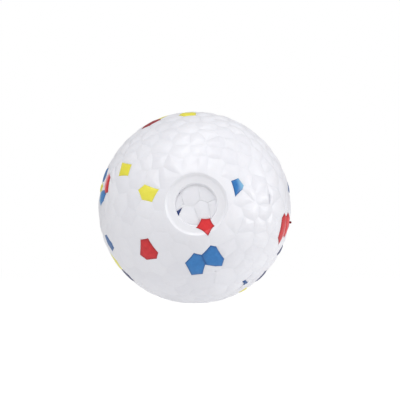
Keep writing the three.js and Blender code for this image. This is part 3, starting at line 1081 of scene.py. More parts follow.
class BeadTree:
    """The node tree that raises cells into beads.

    Attributes:
        LENGTHS: Fields of a relief that are in millimetres.
        SHARES: Fields of a relief that are numbers or choices.
        INPUTS: Of the tree.
        CROWDING: How much closer the rings are at the border than in the middle.
        WAIST_PLACE: Share of the way down a root where its waist is.
        DOME_FALL: How steeply a dome falls to its border.
        WELD: Points that are nearer than this are one.
    """

    LENGTHS = ("groove", "dome", "unevenness", "root")
    SHARES = ("flat", "sharpness", "tilt", "waist", "tip")
    INPUTS = (
        *((name.title(), "NodeSocketFloat") for name in ("out", *LENGTHS, *SHARES)),
        ("Rings", "NodeSocketInt"),
        ("Seed", "NodeSocketInt"),
        ("Material", "NodeSocketMaterial"),
    )
    CROWDING = 1.5
    WAIST_PLACE = 0.55
    DOME_FALL = 2.0
    WELD = 0.004

    def __init__(self) -> None:
        """Builds the tree."""
        self.tree = bpy.data.node_groups.new("bead_relief", "GeometryNodeTree")
        interface = self.tree.interface
        interface.new_socket("Geometry", in_out="INPUT", socket_type="NodeSocketGeometry")
        interface.new_socket("Geometry", in_out="OUTPUT", socket_type="NodeSocketGeometry")
        self.identifiers = {
            name: interface.new_socket(name, in_out="INPUT", socket_type=kind).identifier
            for name, kind in self.INPUTS
        }
        self._fill(NodeGraph(self.tree))

    def _fill(self, graph: NodeGraph) -> None:
        """Adds the nodes.

        Args:
            graph: Takes the nodes.
        """
        given = graph.add("NodeGroupInput").outputs
        share = graph.given("share", "FLOAT")
        valley = graph.given("valley", "FLOAT")
        bead = graph.given("bead", "INT")
        middle = graph.given("middle", "FLOAT_VECTOR")
        fold = graph.given("fold", "FLOAT_VECTOR")
        pocket = graph.given("pocket", "BOOLEAN")

        # How far out a point lies, from its share of the way from the bead's middle to the border.
        position = graph.add("GeometryNodeInputPosition").outputs[0]
        steep = graph.math("MULTIPLY", given["Sharpness"], graph.math("MAXIMUM", valley, 1.0))
        edge = graph.math("POWER", share, steep)
        inner = graph.math("SUBTRACT", 1.0, edge)
        hollow = graph.math("MULTIPLY", edge, valley)
        level = graph.add("FunctionNodeRandomValue", {2: -1.0, 3: 1.0, "ID": bead, "Seed": given["Seed"]})
        lean = graph.add(
            "FunctionNodeRandomValue",
            {0: (-1.0, -1.0, -1.0), 1: (1.0, 1.0, 1.0), "ID": bead, "Seed": given["Seed"]},
            data_type="FLOAT_VECTOR",
        )
        from_middle = graph.vector("SUBTRACT", position, middle)
        leaning = graph.vector("DOT_PRODUCT", from_middle, lean.outputs[0])
        raised = graph.math(
            "ADD",
            graph.math("MULTIPLY", level.outputs[1], given["Unevenness"]),
            graph.math("MULTIPLY", leaning, given["Tilt"]),
        )
        heading = graph.vector("NORMALIZE", position)
        facing = graph.vector("DOT_PRODUCT", heading, (0.0, -1.0, 0.0))
        further = graph.math("SUBTRACT", graph.math("DIVIDE", 1.0, facing), 1.0)
        out = graph.math("MULTIPLY", given["Out"], graph.math("MULTIPLY_ADD", further, given["Flat"], 1.0))
        out = graph.math("ADD", out, graph.math("MULTIPLY", raised, inner))
        out = graph.math("SUBTRACT", out, graph.math("MULTIPLY", hollow, given["Groove"]))
        folded = graph.math("MAXIMUM", graph.vector("DOT_PRODUCT", from_middle, fold), 0.0)
        out = graph.math("SUBTRACT", out, graph.math("MULTIPLY", folded, inner))
        fallen = graph.math("MULTIPLY", graph.math("POWER", share, self.DOME_FALL), given["Dome"])
        out = graph.math("SUBTRACT", out, fallen)
        surface = graph.along(heading, out)

        apart = graph.add("GeometryNodeSplitEdges", {"Mesh": given["Geometry"]}).outputs[0]
        tone_seed = graph.math("ADD", given["Seed"], 1.0)
        tone = graph.add("FunctionNodeRandomValue", {2: 0.0, 3: 1.0, "ID": bead, "Seed": tone_seed})
        toned = graph.stored("tone", "FACE", Geometry=apart, Value=tone.outputs[1])
        bordered = graph.stored("share", Geometry=toned, Value=1.0)
        parted = graph.add(
            "GeometryNodeSeparateGeometry", {"Geometry": bordered, "Selection": pocket}, domain="FACE"
        ).outputs

        crowns = self._rings(graph, given, parted["Inverted"], middle)
        faces, roots = (
            graph.add("GeometryNodeSetPosition", {"Geometry": part, "Position": surface}).outputs[0]
            for part in (crowns, parted["Selection"])
        )
        half = graph.math("MULTIPLY", given["Root"], self.WAIST_PLACE)
        for width, depth in ((given["Waist"], half), (given["Tip"], given["Root"])):
            roots = self._narrowed(graph, roots, width, graph.math("SUBTRACT", given["Out"], depth), middle)

        joined = graph.add("GeometryNodeJoinGeometry")
        for part in (faces, roots):
            graph.tree.links.new(part, joined.inputs[0])
        kept = graph.add(
            "GeometryNodeMergeByDistance", {"Geometry": joined.outputs[0], "Distance": self.WELD * MM}
        ).outputs[0]
        # Painted shade and painted highlight: how deep in a valley and how near a border each point lies,
        # and how much highlight colour it gets, are kept for the material.
        gloss = graph.given("gloss", "FLOAT_VECTOR")
        glossy = graph.vector("DOT_PRODUCT", from_middle, gloss)
        glossy = graph.math("ADD", glossy, graph.given("painted_highlight_base", "FLOAT"))
        for name, value in (("hollow", hollow), ("border", edge), ("glossy", glossy)):
            kept = graph.stored(name, Geometry=kept, Value=value)
        smooth = graph.add("GeometryNodeSetShadeSmooth", {"Geometry": kept}).outputs[0]
        real = graph.add("GeometryNodeRealizeInstances", {"Geometry": smooth}).outputs[0]
        done = {"Geometry": real, "Material": given["Material"]}
        graph.add("NodeGroupOutput", {"Geometry": graph.add("GeometryNodeSetMaterial", done).outputs[0]})

    def _rings(
        self, graph: NodeGraph, given: bpy.types.NodeOutputs, cells: Socket, middle: Socket
    ) -> Socket:
        """Insets each cell ring by ring, with the steps closest at the border.

        Args:
            graph: Takes the nodes.
            given: Inputs of the tree.
            cells: The cells.
            middle: Of each cell.

        Returns:
            The rings and crowns.
        """
        end = graph.add("GeometryNodeRepeatOutput")
        end.repeat_items.new("BOOLEAN", "Crown")
        start = graph.add("GeometryNodeRepeatInput")
        start.pair_with_output(end)
        graph.tree.links.new(given["Rings"], start.inputs["Iterations"])
        graph.tree.links.new(cells, start.inputs["Geometry"])
        start.inputs["Crown"].default_value = True
        steps = graph.math("ADD", given["Rings"], 1.0)

        def share_left(ring: Socket) -> Socket:
            """Share of the way to the middle that is left after a ring."""
            passed = graph.math("POWER", graph.math("DIVIDE", ring, steps), self.CROWDING)
            return graph.math("SUBTRACT", 1.0, passed)

        before = share_left(start.outputs["Iteration"])
        after = share_left(graph.math("ADD", start.outputs["Iteration"], 1.0))
        narrowing = graph.math("DIVIDE", after, before)
        inset, crowns = self._inset(
            graph, start.outputs["Geometry"], start.outputs["Crown"], narrowing, middle
        )
        shared = graph.stored("share", Geometry=inset, Selection=crowns, Value=after)
        graph.tree.links.new(shared, end.inputs["Geometry"])
        graph.tree.links.new(crowns, end.inputs["Crown"])
        return end.outputs["Geometry"]

    @staticmethod
    def _inset(
        graph: NodeGraph, faces: Socket, chosen: Socket, share: Socket, middle: Socket
    ) -> tuple[Socket, Socket]:
        """Carries the chosen faces on to narrower ones.

        Args:
            graph: Takes the nodes.
            faces: All the faces.
            chosen: Which of them to carry on.
            share: Width of the new faces.
            middle: What they are narrowed towards.

        Returns:
            All the faces, and which of them are the new ends.
        """
        extruded = graph.add(
            "GeometryNodeExtrudeMesh",
            {"Mesh": faces, "Selection": chosen, "Offset Scale": 0.0, "Individual": True},
            mode="FACES",
        ).outputs
        ends = extruded["Top"]
        inputs = {"Geometry": extruded["Mesh"], "Selection": ends, "Scale": share, "Center": middle}
        return graph.add("GeometryNodeScaleElements", inputs, domain="FACE").outputs[0], ends

    def _narrowed(
        self, graph: NodeGraph, faces: Socket, share: Socket, out: Socket, middle: Socket
    ) -> Socket:
        """Carries the inner ends of roots or pockets on towards the ball's centre, narrower.

        Args:
            graph: Takes the nodes.
            faces: The roots or pockets.
            share: Width of the new ends.
            out: Their distance from the ball's centre.
            middle: Of each bead.

        Returns:
            The longer roots or pockets.
        """
        size = graph.add("GeometryNodeInputMeshFaceNeighbors").outputs["Vertex Count"]
        chosen = graph.math("GREATER_THAN", size, float(QUAD))
        scaled, ends = self._inset(graph, faces, chosen, share, middle)
        position = graph.add("GeometryNodeInputPosition").outputs[0]
        place = graph.along(graph.vector("NORMALIZE", position), out)
        inputs = {"Geometry": scaled, "Selection": ends, "Position": place}
        return graph.add("GeometryNodeSetPosition", inputs).outputs[0]

    def raise_beads(
        self, mesh: Mesh, name: str, relief: Relief, out: float, material: Material, seed: int
    ) -> Piece:
        """Raises the cells of a mesh and keeps the result as a plain mesh.

        Args:
            mesh: The cells.
            name: Of the piece.
            relief: The beads' shape.
            out: Distance of the beads' faces, or of their plane, from the ball's centre.
            material: Their finish.
            seed: Of the beads' unevenness and tones.

        Returns:
            The piece.
        """
        cells = placed(f"{name}_cells", mesh)
        modifier = cells.modifiers.new("bead_relief", "NODES")
        modifier.node_group = self.tree
        values = {"Out": out * MM, "Rings": relief.rings, "Seed": seed, "Material": material}
        values.update((field_name.title(), getattr(relief, field_name) * MM) for field_name in self.LENGTHS)
        values.update((field_name.title(), float(getattr(relief, field_name))) for field_name in self.SHARES)
        for key, value in values.items():
            modifier[self.identifiers[key]] = value
        piece = placed(name, plain_mesh(cells, name))
        bpy.data.objects.remove(cells)
        return piece


def plain_mesh(shown: Piece, name: str) -> Mesh:
    """The mesh of an object with its modifiers applied.

    Args:
        shown: The object.
        name: Of the new mesh.

    Returns:
        The mesh.
    """
    graph = bpy.context.evaluated_depsgraph_get()
    graph.update()
    mesh = bpy.data.meshes.new_from_object(
        shown.evaluated_get(graph), preserve_all_data_layers=True, depsgraph=graph
    )
    mesh.name = name
    return mesh


def cell_mesh(
    name: str, points: Array, loops: list[list[int]], attributes: dict[str, tuple[str, str, list]]
) -> Mesh:
    """A mesh of cells with what the node tree reads.

    Args:
        name: Of the mesh.
        points: Places in metres.
        loops: The cells' borders, as numbers of points.
        attributes: Kind, domain and values of each attribute, by name.

    Returns:
        The mesh.
    """
    mesh = bpy.data.meshes.new(name)
    mesh.from_pydata(points.tolist(), [], loops)
    for key, (kind, domain, values) in attributes.items():
        layer = mesh.attributes.new(key, kind, domain)
        flat = np.array(values, dtype=float).ravel() if kind.startswith("FLOAT") else values
        layer.data.foreach_set("vector" if kind == "FLOAT_VECTOR" else "value", flat)
    return mesh


# Finishes


# A screen's curve: straight up to a limit, and a power beyond it.
SCREEN_WHITE = 255
CURVE_LIMIT, CURVE_FOOT, CURVE_SHIFT, CURVE_POWER = 0.04045, 12.92, 0.055, 2.4


def linear(*screen: int) -> tuple[float, ...]:
    """A screen colour as the shader's linear colour.

    Args:
        *screen: Red, green and blue.

    Returns:
        The same and an alpha of 1.
    """
    parts = []
    for value in screen:
        part = value / SCREEN_WHITE
        curved = ((part + CURVE_SHIFT) / (1 + CURVE_SHIFT)) ** CURVE_POWER
        parts.append(part / CURVE_FOOT if part <= CURVE_LIMIT else curved)
    return (*parts, 1.0)


@dataclass(frozen=True)
class FoamFinish:
    """Look of one colour of bead foam, with painted shade in the valleys and along borders, and a painted
    highlight.

    Attributes:
        slot: The colour, as the record names it.
        light: Colour of the lightest beads, as on a screen.
        dark: Colour of the darkest beads.
        valley: Colour of the painted shade in the valleys between beads and along borders, which the shaded
            and darkest beads also go towards.
        valley_shade_share: How much of the painted valley shade shows at the valley's bottom.
        border_shade_share: How much of the painted valley shade shows along a separate bead's border.
        gloss: Colour of the painted highlight on the side of a bead that shines.
        painted_highlight_share: How much of the painted highlight shows, a millimetre from the bead's
            middle.
        mottle: Strength of the cloudy change of tone within a bead.
        tone: Tone of a bead that has none of its own, and what its own adds at most.
        valley_shade_fall: How steeply the painted valley shade fades up the shoulder.
        border_shade_fall: How steeply the painted shade fades from a separate bead's border.
        clouds: Spots to the metre, finer layers and their strength, of the change of tone.
        dimples: The same of the skin's dimples.
        pores: The same of its pores.
        pore_share: Depth of the pores, as a share of the dimples'.
        grain: Strength of the dimples and pores.
        grain_depth: Their depth.
        roughness: Of the skin.
        ior: Of the skin.
        glow: Share of the light that enters the foam.
        glow_reach: How far it goes.
        glow_tint: Of that reach, for red, green and blue.
    """

    slot: Colour
    light: Screen
    dark: Screen
    valley: Screen
    valley_shade_share: float = 0.12
    border_shade_share: float = 0.0
    gloss: Screen = (255, 255, 255)
    painted_highlight_share: float = 0.4
    mottle: float = 0.5
    tone: Pair = (0.2, 0.6)
    valley_shade_fall: float = 1.6
    border_shade_fall: float = 2.0
    clouds: Triple = (700.0, 4.0, 0.6)
    dimples: Triple = (620.0, 2.0, 0.5)
    pores: Triple = (2100.0, 2.0, 0.55)
    pore_share: float = 0.35
    grain: float = 0.12
    grain_depth: float = 0.25
    roughness: float = 0.38
    ior: float = 1.46
    glow: float = 0.12
    glow_reach: float = 0.7
    glow_tint: Triple = (1.0, 0.9, 0.85)

    def material(self) -> Material:
        """The finish as a material on object coordinates and the beads' own attributes, which paint shade in
        valleys and highlights on shining sides.

        Returns:
            The material.
        """
        material = bpy.data.materials.new(self.slot.value)
        graph = cleared(material)
        place = graph.add("ShaderNodeTexCoord").outputs["Object"]
        base, own = self.tone
        cloud = graph.noise(place, self.clouds)
        cloudy = graph.math("MULTIPLY_ADD", cloud, self.mottle, base - self.mottle / 2)
        toned = graph.math("MULTIPLY_ADD", graph.read("tone"), own, cloudy)
        skin = graph.blend(toned, linear(*self.dark), linear(*self.light))
        # Painted shade: darkening towards the valley colour on shaded beads, in the valleys and along a
        # separate bead's border.
        low = graph.read("shade_and_deep_tone")
        for name, fall, share in (
            ("hollow", self.valley_shade_fall, self.valley_shade_share),
            ("border", self.border_shade_fall, self.border_shade_share),
        ):
            shown = graph.math("MULTIPLY", graph.math("POWER", graph.read(name), fall), share)
            low = graph.math("MAXIMUM", low, shown)
        shaded = graph.blend(low, skin, linear(*self.valley))
        # Painted highlight: a lighter colour on the side of a bead that shines, and on the port's walls.
        glossy = graph.math("MULTIPLY", graph.read("glossy"), self.painted_highlight_share)
        pores = graph.math("MULTIPLY", graph.noise(place, self.pores), self.pore_share)
        height = graph.math("ADD", pores, graph.noise(place, self.dimples))
        bump = {"Strength": self.grain, "Distance": self.grain_depth * MM, "Height": height}
        inputs = {
            "Base Color": graph.blend(glossy, shaded, linear(*self.gloss)),
            "Roughness": self.roughness,
            "Normal": graph.add("ShaderNodeBump", bump).outputs[0],
            "IOR": self.ior,
            "Subsurface Weight": self.glow,
            "Subsurface Radius": self.glow_tint,
            "Subsurface Scale": self.glow_reach * MM,
        }
        shader = graph.add("ShaderNodeBsdfPrincipled", inputs).outputs[0]
        graph.add("ShaderNodeOutputMaterial", {"Surface": shader})
        return material


# The third colour of each foam is the colour of its painted shade, and the pale one given for red and blue
# is the colour of its painted highlight.
FINISHES = (
    FoamFinish(WHITE, (238, 238, 243), (230, 230, 236), (206, 208, 216)),
    FoamFinish(
        RED, (228, 52, 57), (190, 27, 34), (120, 12, 30),
        valley_shade_share=0.15, border_shade_share=0.65, gloss=(240, 150, 158), mottle=1.3,
    ),
    FoamFinish(
        BLUE, (60, 136, 203), (36, 106, 174), (22, 34, 96),
        border_shade_share=0.55, gloss=(140, 196, 226), mottle=1.1,
    ),
    FoamFinish(YELLOW, (242, 235, 92), (228, 218, 62), (190, 180, 60), mottle=1.1),
)


# Pieces


class Dresser:
    """Makes the materials, and hands each piece to its body in place of its CAD node."""

    def __init__(self) -> None:
        """Makes the materials."""
        self.materials = {finish.slot: finish.material() for finish in FINISHES}

    def hand_in(self, piece: Piece, node: str, colour: Colour) -> None:
        """Puts a piece in the place of its CAD node.

        Args:
            piece: The piece.
            node: The CAD node.
            colour: Its foam.
        """
        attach(piece, BODY)
        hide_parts(node)
        LOG.info("%s: %d faces of %s", node, len(piece.data.polygons), colour.value)


@dataclass
class PortCut:
    """The turned space of the filling port.

    Attributes:
        sizes: The ball.
        sides: Of the turned walls.
        lip: Radius of the rounded lip.
        foot: Radius where the mouth's wall meets the ledge.
        brow: Radius of the ledge's inner edge.
        bed_drop: From the port's floor down to the mass that shows between its beads.
        apron: Length of the slope outside the lip.
        apron_rise: How far it is above the ball at its outer end.
        reach: How far the space goes beyond the ball.
    """

    sizes: BallSizes
    sides: int = 144
    lip: float = 0.6
    foot: float = 1.0
    brow: float = 0.3
    bed_drop: float = 0.05
    apron: float = 3.0
    apron_rise: float = 0.45
    reach: float = 4.0

    def profile(self, off: float = 0.0, foot: Pair | None = None) -> list[Pair]:
        """Radius and distance from the ball's centre along the port's wall, outside first.

        Args:
            off: How far the wall is moved into the port's space.
            foot: Where a straight slope from the ledge's edge ends, in place of the port's wall.

        Returns:
            The steps.
        """
        sizes = self.sizes
        lean = math.asin(sizes.mouth_radius / sizes.radius)
        start = (
            sizes.mouth_radius + self.apron * math.cos(lean) - off,
            sizes.rim - self.apron * math.sin(lean) + self.apron_rise + off,
        )
        corners = [
            ((sizes.mouth_radius - off, sizes.rim + off), self.lip),
            ((sizes.mouth_radius - sizes.mouth_wall_width - off, sizes.ledge + off), self.foot),
            ((sizes.port_radius - off, sizes.ledge + off), self.brow),
        ]
        if not foot:
            corners.append(((sizes.floor_radius - off, sizes.port_floor), 0.0))
        end = foot or (sizes.floor_radius - off, sizes.port_floor - self.bed_drop)
        path = [start, *(corner for corner, _ in corners), end]
        steps = [start]
        for k, (_, radius) in enumerate(corners, start=1):
            steps.extend(rounded_corner(path[k - 1], path[k], path[k + 1], radius))
        return [*steps, end]

    def solid(self, name: str, off: float = 0.0, foot: Pair | None = None) -> Piece:
        """The space as a closed mesh to cut with.

        Args:
            name: Of the object.
            off: How far its wall is moved into the port's space.
            foot: Where a straight slope from the ledge's edge ends, in place of the port's wall.

        Returns:
            The object.
        """
        steps = self.profile(off, foot)
        outside = self.sizes.radius + self.reach
        steps = [(steps[0][0], outside), *steps]
        turns = np.linspace(0, 2 * math.pi, self.sides, endpoint=False)
        points = [(0.0, -outside, 0.0)]
        for r, out in steps:
            points.extend((r * math.cos(t), -out, r * math.sin(t)) for t in turns)
        points.append((0.0, -steps[-1][1], 0.0))
        faces: list[tuple[int, ...]] = []
        for k in range(self.sides):
            after = (k + 1) % self.sides
            faces.append((0, 1 + k, 1 + after))
            for ring in range(len(steps) - 1):
                a, b = 1 + ring * self.sides, 1 + (ring + 1) * self.sides
                faces.append((a + k, b + k, b + after, a + after))
            last = 1 + (len(steps) - 1) * self.sides
            faces.append((last + after, last + k, len(points) - 1))
        mesh = bpy.data.meshes.new(name)
        mesh.from_pydata((np.array(points) * MM).tolist(), [], faces)
        facing_out(mesh)
        mesh.shade_smooth()
        return placed(name, mesh)


def rounded_corner(before: Pair, corner: Pair, after: Pair, radius: float, steps: int = 6) -> list[Pair]:
    """Points round a corner of a profile.

    Args:
        before: The point before the corner.
        corner: The corner.
        after: The point after it.
        radius: Of the rounding.
        steps: Of the rounding.

    Returns:
        The corner itself, or an arc in its place.
    """
    if radius <= 0:
        return [corner]
    middle = np.array(corner)
    back, on = unit(np.array(before) - middle), unit(np.array(after) - middle)
    half = math.acos(float(np.clip(back @ on, -1, 1))) / 2
    start, end = middle + back * radius / math.tan(half), middle + on * radius / math.tan(half)
    centre = middle + unit(back + on) * radius / math.sin(half)
    places = []
    for step in range(steps + 1):
        t = step / steps
        places.append(tuple(centre + unit((start - centre) * (1 - t) + (end - centre) * t) * radius))
    return places


def facing_out(mesh: Mesh) -> None:
    """Turns the faces of a closed mesh outwards."""
    with edited(mesh) as editor:
        bmesh.ops.recalc_face_normals(editor, faces=editor.faces)


def fan_out(mesh: Mesh) -> None:
    """Splits many-sided faces into triangles round their middles, so that a cut leaves no slivers."""
    with edited(mesh) as editor:
        bmesh.ops.poke(editor, faces=[face for face in editor.faces if len(face.verts) > QUAD])


def cut_out(piece: Piece, space: Piece) -> None:
    """Cuts a space out of a piece, keeps the result as its plain mesh and removes the space.

    Args:
        piece: What is cut.
        space: What it is cut with.
    """
    modifier = piece.modifiers.new("cut", "BOOLEAN")
    modifier.object = space
    modifier.operation = "DIFFERENCE"
    modifier.solver = "EXACT"
    mesh = plain_mesh(piece, piece.name)
    piece.modifiers.clear()
    old = piece.data
    piece.data = mesh
    bpy.data.meshes.remove(old)
    bpy.data.objects.remove(space)


@dataclass
class BeadMass:
    """The white beads, welded into one mass with a pocket for each coloured bead and the port's space.

    Attributes:
        net: The cells.
        relief: The beads' shape.
        rest: Height of the flat bottom.
        flush: Distances from the port's mouth between which the valleys fade in.
        smooth_side: Direction in which the beads are welded flattest.
        smooth_share: Depth of the valleys there, as a share of the others.
        smooth_fall: How steeply the valleys deepen away from there.
        port_painted_light_tone: How light the port's turned walls are painted, from the darkest to the
            lightest of the foam, to lift the recess's shade.
        port_painted_highlight: How far the walls are towards the foam's painted highlight colour.
        pit: Bearing and height, in degrees, of the place where two beads did not weld.
        pit_reach: Half of the pit's length.
        pit_depth: Depth of the pit, in grooves.
        seed: Of the beads' unevenness and tones.
    """

    net: BeadNet
    relief: Relief
    rest: float
    flush: Pair = (0.5, 4.5)
    smooth_side: Triple = (-0.62, -0.45, -0.64)
    smooth_share: float = 0.35
    smooth_fall: float = 1.5
    port_painted_light_tone: float = 1.0
    port_painted_highlight: float = 0.25
    pit: Pair = (48.3, 4.2)
    pit_reach: float = 1.7
    pit_depth: float = 4.0
    seed: int = 3

    def valleys(self) -> Array:
        """Depth of the valley at each point of the borders, as a share of the groove.

        Returns:
            The shares.
        """
        places = self.net.points * self.net.sizes.radius
        off_axis = np.hypot(places[:, 0], places[:, 2])
        off_axis[places[:, 1] > 0] = math.inf
        near, far = (self.net.sizes.mouth_radius + off_mouth for off_mouth in self.flush)
        fade = np.clip((off_axis - near) / (far - near), 0, 1)
        fade = fade * fade * (3 - 2 * fade)
        facing = np.clip(self.net.points @ unit(np.array(self.smooth_side)), 0, 1)
        welded = 1 - (1 - self.smooth_share) * facing**self.smooth_fall
        off_pit = np.linalg.norm(places - direction(*self.pit) * self.net.sizes.radius, axis=1)
        open_pit = self.pit_depth * np.clip(1 - (off_pit / self.pit_reach) ** 2, 0, 1)
        # These shares also set how much painted valley shade the material shows.
        return fade * welded + open_pit

    def build(self, tree: BeadTree, port: PortCut, dresser: Dresser) -> None:
        """Makes the mass.

        Args:
            tree: Raises the beads.
            port: The space of the port.
            dresser: Its finishes.
        """
        net = self.net
        radius = net.sizes.radius
        separate = {bead.name for bead in SURFACE_BEADS}
        mesh = cell_mesh(
            "white_cells",
            net.points * radius * MM,
            [cell.loop for cell in net.cells],
            {
                "valley": ("FLOAT", "POINT", self.valleys().tolist()),
                "bead": ("INT", "FACE", [cell.bead for cell in net.cells]),
                "middle": ("FLOAT_VECTOR", "FACE", [cell.middle * radius * MM for cell in net.cells]),
                "pocket": ("BOOLEAN", "FACE", [net.names.get(cell.bead) in separate for cell in net.cells]),
            },
        )
        material = dresser.materials[WHITE]
        piece = tree.raise_beads(mesh, "white_mass", self.relief, radius, material, self.seed)
        fan_out(piece.data)
        space = port.solid("port_space")
        space.data.materials.append(material)
        cut_out(piece, space)
        self._paint_port_light(piece.data)
        for vert in piece.data.vertices:
            vert.co.z = max(vert.co.z, self.rest * MM)
        dresser.hand_in(piece, "white_bead_mass", WHITE)

    def _paint_port_light(self, mesh: Mesh) -> None:
        """Paints light on the port's turned walls, which lifts the shade of the recess.

        Args:
            mesh: Of the mass.
        """
        # Painted light: the walls get the lightest tone of the foam and some of its pale highlight colour.
        for name, value, items, place in (
            ("tone", self.port_painted_light_tone, mesh.polygons, "center"),
            ("glossy", self.port_painted_highlight, mesh.vertices, "co"),
        ):
            places = np.empty((len(items), 3), dtype=np.float32)
            items.foreach_get(place, places.ravel())
            values = np.empty(len(items), dtype=np.float32)
            mesh.attributes[name].data.foreach_get("value", values)
            off_axis = np.hypot(places[:, 0], places[:, 2]) / MM
            values[(off_axis < self.net.sizes.mouth_radius) & (places[:, 1] < 0)] = value
            mesh.attributes[name].data.foreach_set("value", values)


@dataclass
class ColouredBeads:
    """The coloured beads of the ball's surface.

    Attributes:
        net: The cells.
        relief: The beads' shape.
        nib_radius: Of a drop of foam beside a bead.
        nib_stand: How far the drop's middle stands out of the ball.
        nib_rounds: How often the drop's mesh is divided.
        seed: Of the beads' unevenness and tones.
    """

    net: BeadNet
    relief: Relief
    nib_radius: float = 0.42
    nib_stand: float = 0.15
    nib_rounds: int = 3
    seed: int = 5

    def build(self, tree: BeadTree, beads: tuple[Bead, ...], valleys: Array, dresser: Dresser) -> None:
        """Makes the beads.

        Args:
            tree: Raises the beads.
            beads: What to make.
            valleys: Depth of the valley at each point of the borders.
            dresser: Their finishes.
        """
        net = self.net
        radius = net.sizes.radius
        cells = {net.names[cell.bead]: cell for cell in net.cells if cell.bead in net.names}
        for number, bead in enumerate(beads):
            cell = cells[bead.name]
            points = net.points[cell.loop] * radius * MM
            mesh = two_sided(bead, points, valleys[cell.loop], cell.middle * radius * MM, number)
            material = dresser.materials[bead.colour]
            piece = tree.raise_beads(mesh, f"{bead.name}_foam", self.relief, radius, material, self.seed)
            if bead.nib:
                self._add_nib(piece.data, bead.nib)
            dresser.hand_in(piece, bead.name, bead.colour)

    def _add_nib(self, mesh: Mesh, place: Pair) -> None:
        """Adds a drop of dark foam that stands on the ball beside a bead.

        Args:
            mesh: Of the bead.
            place: Of the drop, in degrees.
        """
        centre = Vector(direction(*place)) * (self.net.sizes.radius + self.nib_stand) * MM
        radius, where = self.nib_radius * MM, Matrix.Translation(centre)
        with edited(mesh) as editor:
            before = len(editor.faces)
            bmesh.ops.create_icosphere(editor, subdivisions=self.nib_rounds, radius=radius, matrix=where)
            editor.faces.ensure_lookup_table()
            shade_and_deep_tone = editor.faces.layers.float["shade_and_deep_tone"]
            for face in editor.faces[before:]:
                face.smooth = True
                face.material_index = editor.faces[0].material_index
                face[shade_and_deep_tone] = 1.0


def two_sided(bead: Bead, points: Array, valleys: Array, middle: Array, number: int) -> Mesh:
    """A cell with a second face below it, which the node tree draws out into the bead's root.

    Args:
        bead: What the cell becomes.
        points: The border, in metres.
        valleys: Depth of the valley at each point.
        middle: Direction that sees the whole border, in metres.
        number: Of the bead.

    Returns:
        The mesh.
    """
    count = len(points)
    right, up = tangents(unit(middle))
    fold = bead.fold[0] * right + bead.fold[1] * up
    # Painted highlight: the highlight colour grows along this slope across the bead, from its share at the
    # middle; the bead's darkening share paints shade on it.
    gloss = (bead.gloss[0] * right + bead.gloss[1] * up) / MM
    painted_highlight_base = bead.painted_highlight_base + float(gloss @ (middle - points.mean(axis=0)))
    return cell_mesh(
        bead.name,
        np.concatenate([points, points]),
        [list(range(count)), list(range(2 * count - 1, count - 1, -1))],
        {
            "valley": ("FLOAT", "POINT", [*valleys, *valleys]),
            "bead": ("INT", "FACE", [number, number]),
            "shade_and_deep_tone": ("FLOAT", "FACE", [bead.shade_and_deep_tone, bead.shade_and_deep_tone]),
            "fold": ("FLOAT_VECTOR", "FACE", [fold, fold]),
            "gloss": ("FLOAT_VECTOR", "FACE", [gloss, gloss]),
            "painted_highlight_base": ("FLOAT", "FACE", [painted_highlight_base, painted_highlight_base]),
            "middle": ("FLOAT_VECTOR", "FACE", [middle, middle]),
            "pocket": ("BOOLEAN", "FACE", [False, True]),
        },
    )


